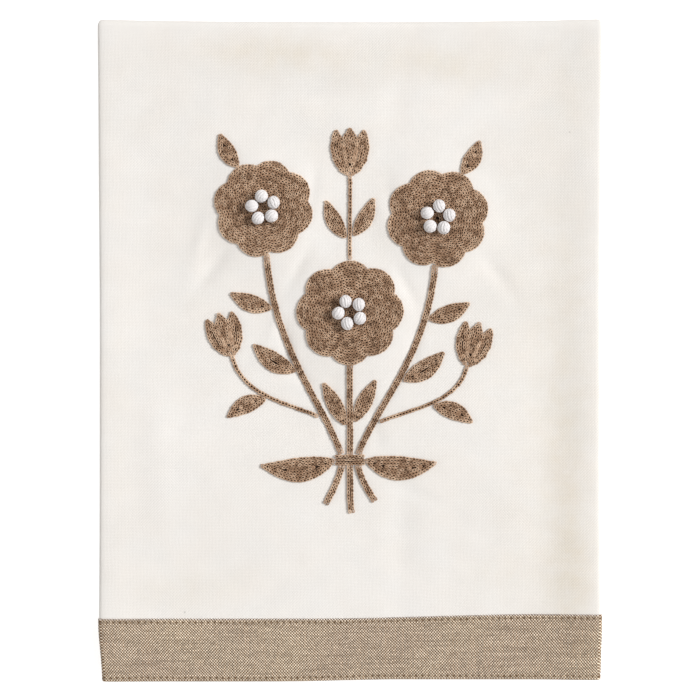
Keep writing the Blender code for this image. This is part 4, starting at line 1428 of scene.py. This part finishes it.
class TOWEL_OT_make_stage(bpy.types.Operator):
    """Make the pale floor, the soft lights and the camera above the towel"""

    bl_idname = "towel.make_stage"
    bl_label = "Stage"

    def execute(self, context):
        settings = context.scene.towel_stage
        deselect_all()
        half = 0.5 * settings.floor_size
        corners = ((-half, -half), (half, -half), (half, half), (-half, half))
        mesh = bpy.data.meshes.new("floor")
        mesh.from_pydata([(x, y, FLOOR_Z) for x, y in corners], [], [(0, 1, 2, 3)])
        mesh.materials.append(floor_material(settings))
        floor = bpy.data.objects.new("floor", mesh)
        context.scene.collection.objects.link(floor)
        world = bpy.data.worlds.new("studio")
        world.use_nodes = True
        background = world.node_tree.nodes["Background"]
        background.inputs["Color"].default_value = SKY_COLOUR
        background.inputs["Strength"].default_value = settings.sky
        context.scene.world = world
        lights = (("key", settings.key_power, KEY_WAY), ("fill", settings.fill_power, FILL_WAY))
        for name, power, way in lights:
            light = bpy.data.lights.new(name, "AREA")
            light.energy = power
            light.size = LIGHT_SIZE
            light.color = LIGHT_COLOUR
            lamp = bpy.data.objects.new(name, light)
            lamp.location = LIGHT_DISTANCE * Vector(way).normalized()
            lamp.rotation_mode = "QUATERNION"
            lamp.rotation_quaternion = lamp.location.to_track_quat("Z", "Y")
            context.scene.collection.objects.link(lamp)
        camera = bpy.data.cameras.new("camera")
        camera.lens = settings.lens
        camera.sensor_width = SENSOR_WIDTH
        camera.clip_end = FARTHEST_SEEN
        viewer = bpy.data.objects.new("camera", camera)
        viewer.location = (0.0, 0.0, settings.height)
        context.scene.collection.objects.link(viewer)
        context.scene.camera = viewer
        context.scene.view_settings.view_transform = "Standard"
        return {"FINISHED"}


class TOWEL_OT_make_cloth(bpy.types.Operator):
    """Lay the cream cloth in its folds, with its turned hems"""

    bl_idname = "towel.make_cloth"
    bl_label = "Cream Cloth"

    def execute(self, context):
        s_line = cloth_columns()
        end_hem = CREAM_LENGTH - END_HEM
        t_line = np.concatenate((
            np.linspace(-TUCK, 0.0, TUCK_ROWS, endpoint=False),
            np.linspace(0.0, FRONT_RUN, FRONT_ROWS, endpoint=False),
            np.linspace(FRONT_RUN, FRONT_RUN + FOLD_RUN, FOLD_ROWS, endpoint=False),
            np.linspace(FRONT_RUN + FOLD_RUN, end_hem - HEM_RAMP, BACK_ROWS, endpoint=False),
            np.linspace(end_hem - HEM_RAMP, end_hem, HEM_RAMP_STEPS, endpoint=False),
            np.linspace(end_hem, CREAM_LENGTH, HEM_ROWS),
        ))
        side = hem_share(s_line)[None, :]
        end = smooth_step((t_line - end_hem + HEM_RAMP) / HEM_RAMP)[:, None]
        inner = -SHEET_THICKNESS - SIDE_HEM_IN * side - END_HEM_IN * end
        outer = np.broadcast_to(SIDE_HEM_OUT * side, inner.shape)
        part = sheet_part(lay, s_line, t_line, outer, inner)
        x, y, z = part["points"].T
        # The tone attribute carries the painted warm shade of the face's troughs and slopes
        part["tone"] = hand_placed(SHADE_TINTS, x, y, "strength") * smooth_step((z - MIDDLE_Z) / INNER_GAP)
        finish = cream_material(context.scene.towel_cloth)
        piece = add_piece("cream_sheet", [part], finish, ["towel_cloth"])
        return {"FINISHED"}


class TOWEL_OT_make_band(bpy.types.Operator):
    """Lay the contrast strip, folded in two over the cloth's lower end"""

    bl_idname = "towel.make_band"
    bl_label = "Contrast Band"

    def execute(self, context):
        fold_radius = 0.5 * (STRIP_FRONT - STRIP_BACK)
        front = BAND_HEIGHT - fold_radius
        fold = math.pi * fold_radius
        u_line = np.concatenate((
            np.linspace(0.0, front, STRIP_ROWS, endpoint=False),
            np.linspace(front, front + fold, STRIP_FOLD_ROWS, endpoint=False),
            np.linspace(front + fold, 2.0 * front + fold, STRIP_BACK_ROWS),
        ))
        s_line = cloth_columns()
        outer = np.full((len(u_line), len(s_line)), 0.5 * STRIP_THICKNESS)
        part = sheet_part(lay_strip, s_line, u_line, outer, -outer, turned=True)
        finish = chambray_material(context.scene.towel_band)
        piece = add_piece("band_strip", [part], finish, ["towel_band"])
        return {"FINISHED"}


class TOWEL_OT_make_band_stitches(bpy.types.Operator):
    """Sew the two rows of stitches along the band"""

    bl_idname = "towel.make_band_stitches"
    bl_label = "Band Stitches"

    def execute(self, context):
        pitch = context.scene.towel_band.stitch_pitch
        rng = np.random.default_rng(BAND_STITCH["seed"])
        stitch = shape_stitch(BAND_STITCH["share"] * pitch, BAND_STITCH["width"])
        first = math.ceil(-LEFT_RUN / pitch) + 1
        last = math.floor(RIGHT_RUN / pitch) - 1
        out = STRIP_FRONT + 0.5 * STRIP_THICKNESS - BAND_STITCH["sink"]
        places = []
        for row in stitch_rows():
            for step in range(first, last):
                turn = rng.uniform(-STITCH_TURN_RANGE, STITCH_TURN_RANGE)
                width = rng.uniform(*STITCH_WIDTH_SHARES)
                tone = BAND_STITCH["tone"] + rng.uniform(-STITCH_TONE_RANGE, STITCH_TONE_RANGE)
                places.append((step * pitch, SEAM_Y - row, turn, 1.0, width, tone, out))
        add_piece("band_stitches", [sew(stitch, places)], yarn_finish("band_thread"), [])
        return {"FINISHED"}


class TOWEL_OT_make_hem_stitches(bpy.types.Operator):
    """Sew the hems along the turned-in sides and across the back end"""

    bl_idname = "towel.make_hem_stitches"
    bl_label = "Hem Stitches"

    def execute(self, context):
        pitch = context.scene.towel_cloth.stitch_pitch
        rng = np.random.default_rng(HEM_STITCH["seed"])
        stitch = shape_stitch(HEM_STITCH["share"] * pitch, HEM_STITCH["width"])
        inset = HEM_STITCH["inset"]
        upright = 0.5 * math.pi
        spots = []
        for s in (-LEFT_RUN + SIDE_HEM - inset, RIGHT_RUN - SIDE_HEM + inset):
            steps = range(2, math.floor(CREAM_LENGTH / pitch) - 1)
            spots += [(s, SEAM_Y + step * pitch, upright, SIDE_HEM_OUT) for step in steps]
        steps = range(math.ceil(-LEFT_RUN / pitch) + 4, math.floor(RIGHT_RUN / pitch) - 3)
        end = SEAM_Y + CREAM_LENGTH - END_HEM + inset
        spots += [(step * pitch, end, 0.0, -HEM_STITCH["sink"]) for step in steps]
        places = []
        for x, y, turn, out in spots:
            tone = HEM_STITCH["tone"] + rng.uniform(-STITCH_TONE_RANGE, STITCH_TONE_RANGE)
            places.append((x, y, turn, 1.0, 1.0, tone, out))
        add_piece("hem_stitches", [sew(stitch, places)], yarn_finish("cream_thread"), [])
        return {"FINISHED"}


class TOWEL_OT_make_rosettes(bpy.types.Operator):
    """Work the three rosettes in rings of chain stitch"""

    bl_idname = "towel.make_rosettes"
    bl_label = "Rosettes"

    def execute(self, context):
        template = shape_loop(context.scene.towel_yarn.radius)
        for number, rosette in enumerate(ROSETTES):
            rng = np.random.default_rng(ROSETTE_SEED + number)
            angle = np.linspace(0.0, 2.0 * math.pi, RING_STEPS + 1)
            outline = rosette_radius(angle, rosette)
            shape = outline / rosette["radius"]
            places = []
            radius = rosette["radius"] - 0.5 * ROW_PITCH
            while radius > RING_LEAST:
                ring = radius * (1.0 + (shape - 1.0) * (radius / rosette["radius"]) ** RING_FADE)
                start = round(RING_STEPS_IN_RADIAN * rng.uniform(0.0, 2.0 * math.pi))
                x = rosette["x"] + ring * np.cos(angle)
                y = MOTIF_Y + rosette["y"] + ring * np.sin(angle)
                tone = 0.0 if places else EDGE_ROW_TONE
                route = np.roll(np.stack((x, y), axis=-1)[:-1], start, axis=0)
                route = np.concatenate((route, route[:1]))
                places.append(chain(route, rng, tone))
                radius -= ROW_PITCH
            turns = np.linspace(0.0, 2.0 * math.pi, PAD_RING_STEPS, endpoint=False)
            reach = (rosette_radius(turns, rosette) - PAD_INSET)[:, None] * PAD_RING_SHARES
            x = rosette["x"] + reach * np.cos(turns)[:, None]
            y = MOTIF_Y + rosette["y"] + reach * np.sin(turns)[:, None]
            add_patch(f"rosette_{rosette['name']}", [shade_pad_part(x, y, closed=True)], template, places)
        return {"FINISHED"}


class TOWEL_OT_make_buds(bpy.types.Operator):
    """Work the three buds, each of two side petals and one raised between them"""

    bl_idname = "towel.make_buds"
    bl_label = "Buds"

    def execute(self, context):
        template = shape_loop(context.scene.towel_yarn.radius)
        for number, bud in enumerate(BUDS):
            rng = np.random.default_rng(BUD_SEED + number)
            foot, heading = curve_point(stem_route(find(STEMS, bud["stem"])), 1.0)
            foot = (foot[0] + END_CLEARANCE * heading[0], foot[1] + END_CLEARANCE * heading[1])
            size = bud["length"]

            def closing(u):
                return smooth_step((BUD_CLOSES - u) / BUD_CLOSING)

            def outline(u):
                return size * np.interp(u, BUD_ALONG, BUD_HALF) * closing(u)

            def notch(u):
                return size * np.interp(u, BUD_NOTCH_ALONG, BUD_NOTCH_HALF) * closing(u)

            def tip(u):
                return size * np.interp(u, BUD_TIP_ALONG, BUD_TIP_HALF)

            petals = [
                (notch, outline, 0.0),
                (lambda u: -outline(u), lambda u: -notch(u), 0.0),
                (lambda u: -tip(u), tip, BUD_TIP_RISE),
            ]
            places = []
            pads = []
            for low, high, rise in petals:
                rows, pad = blade(foot, bud["points"], size, low, high, rng, rise)
                places += rows
                pads.append(pad)
            add_patch(f"bud_{bud['stem']}", pads, template, places)
        return {"FINISHED"}


class TOWEL_OT_make_leaves(bpy.types.Operator):
    """Work the leaves in ovals of chain stitch, one inside another"""

    bl_idname = "towel.make_leaves"
    bl_label = "Leaves"

    def execute(self, context):
        template = shape_loop(context.scene.towel_yarn.radius)
        for number, leaf in enumerate(LEAVES):
            rng = np.random.default_rng(LEAF_SEED + number)
            half_width = 0.5 * leaf["width"]

            def half(u):
                swell = np.abs(np.sin(math.pi * u ** LEAF_FULLEST)) ** LEAF_ROUNDNESS
                return np.maximum(half_width * swell, LEAF_TIP)

            foot = leaf_foot(leaf)
            angle = math.radians(leaf["points"])
            foot = (foot[0] - LEAF_CLEARANCE * math.cos(angle), foot[1] - LEAF_CLEARANCE * math.sin(angle))
            length = leaf["length"] + LEAF_CLEARANCE
            rows, pad = blade(foot, leaf["points"], length, lambda u: -half(u), half, rng, bow=leaf["bow"])
            add_patch(f"leaf_{leaf['name']}", [pad], template, rows)
        return {"FINISHED"}


class TOWEL_OT_make_stems(bpy.types.Operator):
    """Work the stems in one or two rows of chain stitch, and the tie across them"""

    bl_idname = "towel.make_stems"
    bl_label = "Stems and Tie"

    def execute(self, context):
        template = shape_loop(context.scene.towel_yarn.radius)
        for number, stem in enumerate(STEMS):
            rng = np.random.default_rng(STEM_SEED + number)
            route = stem_route(stem)
            spots = [curve_point(route, t) for t in np.linspace(0.0, 1.0, STEM_STEPS)]
            middle = np.array([spot for spot, _ in spots])
            way = np.array([heading for _, heading in spots])
            middle[0] -= END_CLEARANCE * way[0]
            middle[-1] += END_CLEARANCE * way[-1]
            aside = np.stack((-way[:, 1], way[:, 0]), axis=-1)
            middle[:, 1] += MOTIF_Y
            half = 0.5 * stem["width"] - PAD_INSET
            grid = np.stack([middle + share * half * aside for share in (1.0, 0.0, -1.0)], axis=1)
            pad = shade_pad_part(grid[1:-1:2, :, 0], grid[1:-1:2, :, 1])
            if stem["width"] > TWO_ROW_WIDTH:
                offsets = (0.25 * stem["width"], -0.25 * stem["width"])
                rows = [chain(middle + offset * aside, rng, TWO_ROW_TONE) for offset in offsets]
            else:
                rows = [chain(middle, rng, ONE_ROW_TONE, ONE_ROW_WIDTH)]
            add_patch(f"stem_{stem['name']}", [pad], template, rows)
        rng = np.random.default_rng(TIE_SEED)
        half = 0.5 * TIE_LENGTH
        along = np.linspace(-half, half, TIE_STEPS)
        middle_y = MOTIF_Y + TIE_Y
        rows = []
        for share in (-1.0, 0.0, 1.0):
            y = np.full(along.shape, middle_y + share * (0.5 * TIE_HEIGHT - 0.5 * ROW_PITCH))
            rows.append(chain(np.stack((along, y), axis=-1), rng, TIE_TONE, rise=TIE_RISE))
        reach = 0.5 * TIE_HEIGHT - PAD_INSET
        ends = np.linspace(-half + PAD_INSET, half - PAD_INSET, TIE_STEPS)
        x, y = np.meshgrid(ends, middle_y + np.linspace(reach, -reach, 3), indexing="ij")
        add_patch("posy_tie", [shade_pad_part(x, y, rise=TIE_PAD_RISE)], template, rows)
        return {"FINISHED"}


class TOWEL_OT_make_knots(bpy.types.Operator):
    """Wind the white knots in a ring on each rosette"""

    bl_idname = "towel.make_knots"
    bl_label = "Wound Knots"

    def execute(self, context):
        template = shape_knot(context.scene.towel_knots)
        squat = 0.5 * KNOT_HEIGHT / KNOT_RADIUS
        for number, rosette in enumerate(ROSETTES):
            rng = np.random.default_rng(KNOT_SEED + number)
            parts = []
            names = []
            for i in range(KNOTS_IN_RING):
                turn = 2.0 * math.pi * i / KNOTS_IN_RING + math.radians(90.0 + rosette["turn"])
                x = rosette["x"] + KNOT_RING_RADIUS * math.cos(turn)
                y = MOTIF_Y + rosette["y"] + KNOT_RING_RADIUS * math.sin(turn)
                lean = rng.uniform(*KNOT_LEAN)
                points = turned_points(template["points"], lean, rng.uniform(*KNOT_SPIN))
                points = points * (KNOT_TRIM, KNOT_TRIM, squat)
                lift = KNOT_SEAT - points[:, 2].min()
                parts.append(sew(dict(template, points=points), [(x, y, 0.0, 1.0, 1.0, KNOT_TONE, lift)]))
                names.append(f"knot_{rosette['name']}_{i + 1}")
            finish = yarn_finish("white_knot_yarn")
            add_piece(f"knots_{rosette['name']}_wound", parts, finish, names)
        return {"FINISHED"}


class TOWEL_PT_panel(bpy.types.Panel):
    """The towel's pieces and their settings"""

    bl_idname = "TOWEL_PT_panel"
    bl_label = "Folded Hand Towel"
    bl_space_type = "VIEW_3D"
    bl_region_type = "UI"
    bl_category = "Towel"

    def draw(self, context):
        scene = context.scene
        for title, group, operators in PANEL_ROWS:
            box = self.layout.box()
            box.label(text=title)
            settings = getattr(scene, group)
            for key in settings.__annotations__:
                box.prop(settings, key)
            for operator in operators:
                box.operator(operator)


PANEL_ROWS = [
    ("Stage", "towel_stage", ["towel.make_stage"]),
    ("Cloth", "towel_cloth", ["towel.make_cloth", "towel.make_hem_stitches"]),
    ("Band", "towel_band", ["towel.make_band", "towel.make_band_stitches"]),
    ("Posy", "towel_yarn", [
        "towel.make_rosettes", "towel.make_buds", "towel.make_leaves", "towel.make_stems"]),
    ("Knots", "towel_knots", ["towel.make_knots"]),
]
SETTINGS = {
    "towel_cloth": TowelCloth,
    "towel_band": TowelBand,
    "towel_yarn": TowelYarn,
    "towel_knots": TowelKnots,
    "towel_stage": TowelStage,
}
CLASSES = [
    TowelCloth, TowelBand, TowelYarn, TowelKnots, TowelStage,
    TOWEL_OT_make_stage, TOWEL_OT_make_cloth, TOWEL_OT_make_band, TOWEL_OT_make_band_stitches,
    TOWEL_OT_make_hem_stitches, TOWEL_OT_make_rosettes, TOWEL_OT_make_buds, TOWEL_OT_make_leaves,
    TOWEL_OT_make_stems, TOWEL_OT_make_knots, TOWEL_PT_panel,
]


def register():
    """Add the classes and the scene's settings."""
    for item in CLASSES:
        bpy.utils.register_class(item)
    for name, group in SETTINGS.items():
        setattr(bpy.types.Scene, name, PointerProperty(type=group))


def unregister():
    """Take away the settings and the classes."""
    for name in SETTINGS:
        delattr(bpy.types.Scene, name)
    for item in reversed(CLASSES):
        bpy.utils.unregister_class(item)


def main():
    """Make every piece in order."""
    register()
    bpy.ops.towel.make_stage()
    bpy.ops.towel.make_cloth()
    bpy.ops.towel.make_band()
    bpy.ops.towel.make_band_stitches()
    bpy.ops.towel.make_hem_stitches()
    bpy.ops.towel.make_rosettes()
    bpy.ops.towel.make_buds()
    bpy.ops.towel.make_leaves()
    bpy.ops.towel.make_stems()
    bpy.ops.towel.make_knots()


if __name__ == "__main__":
    main()
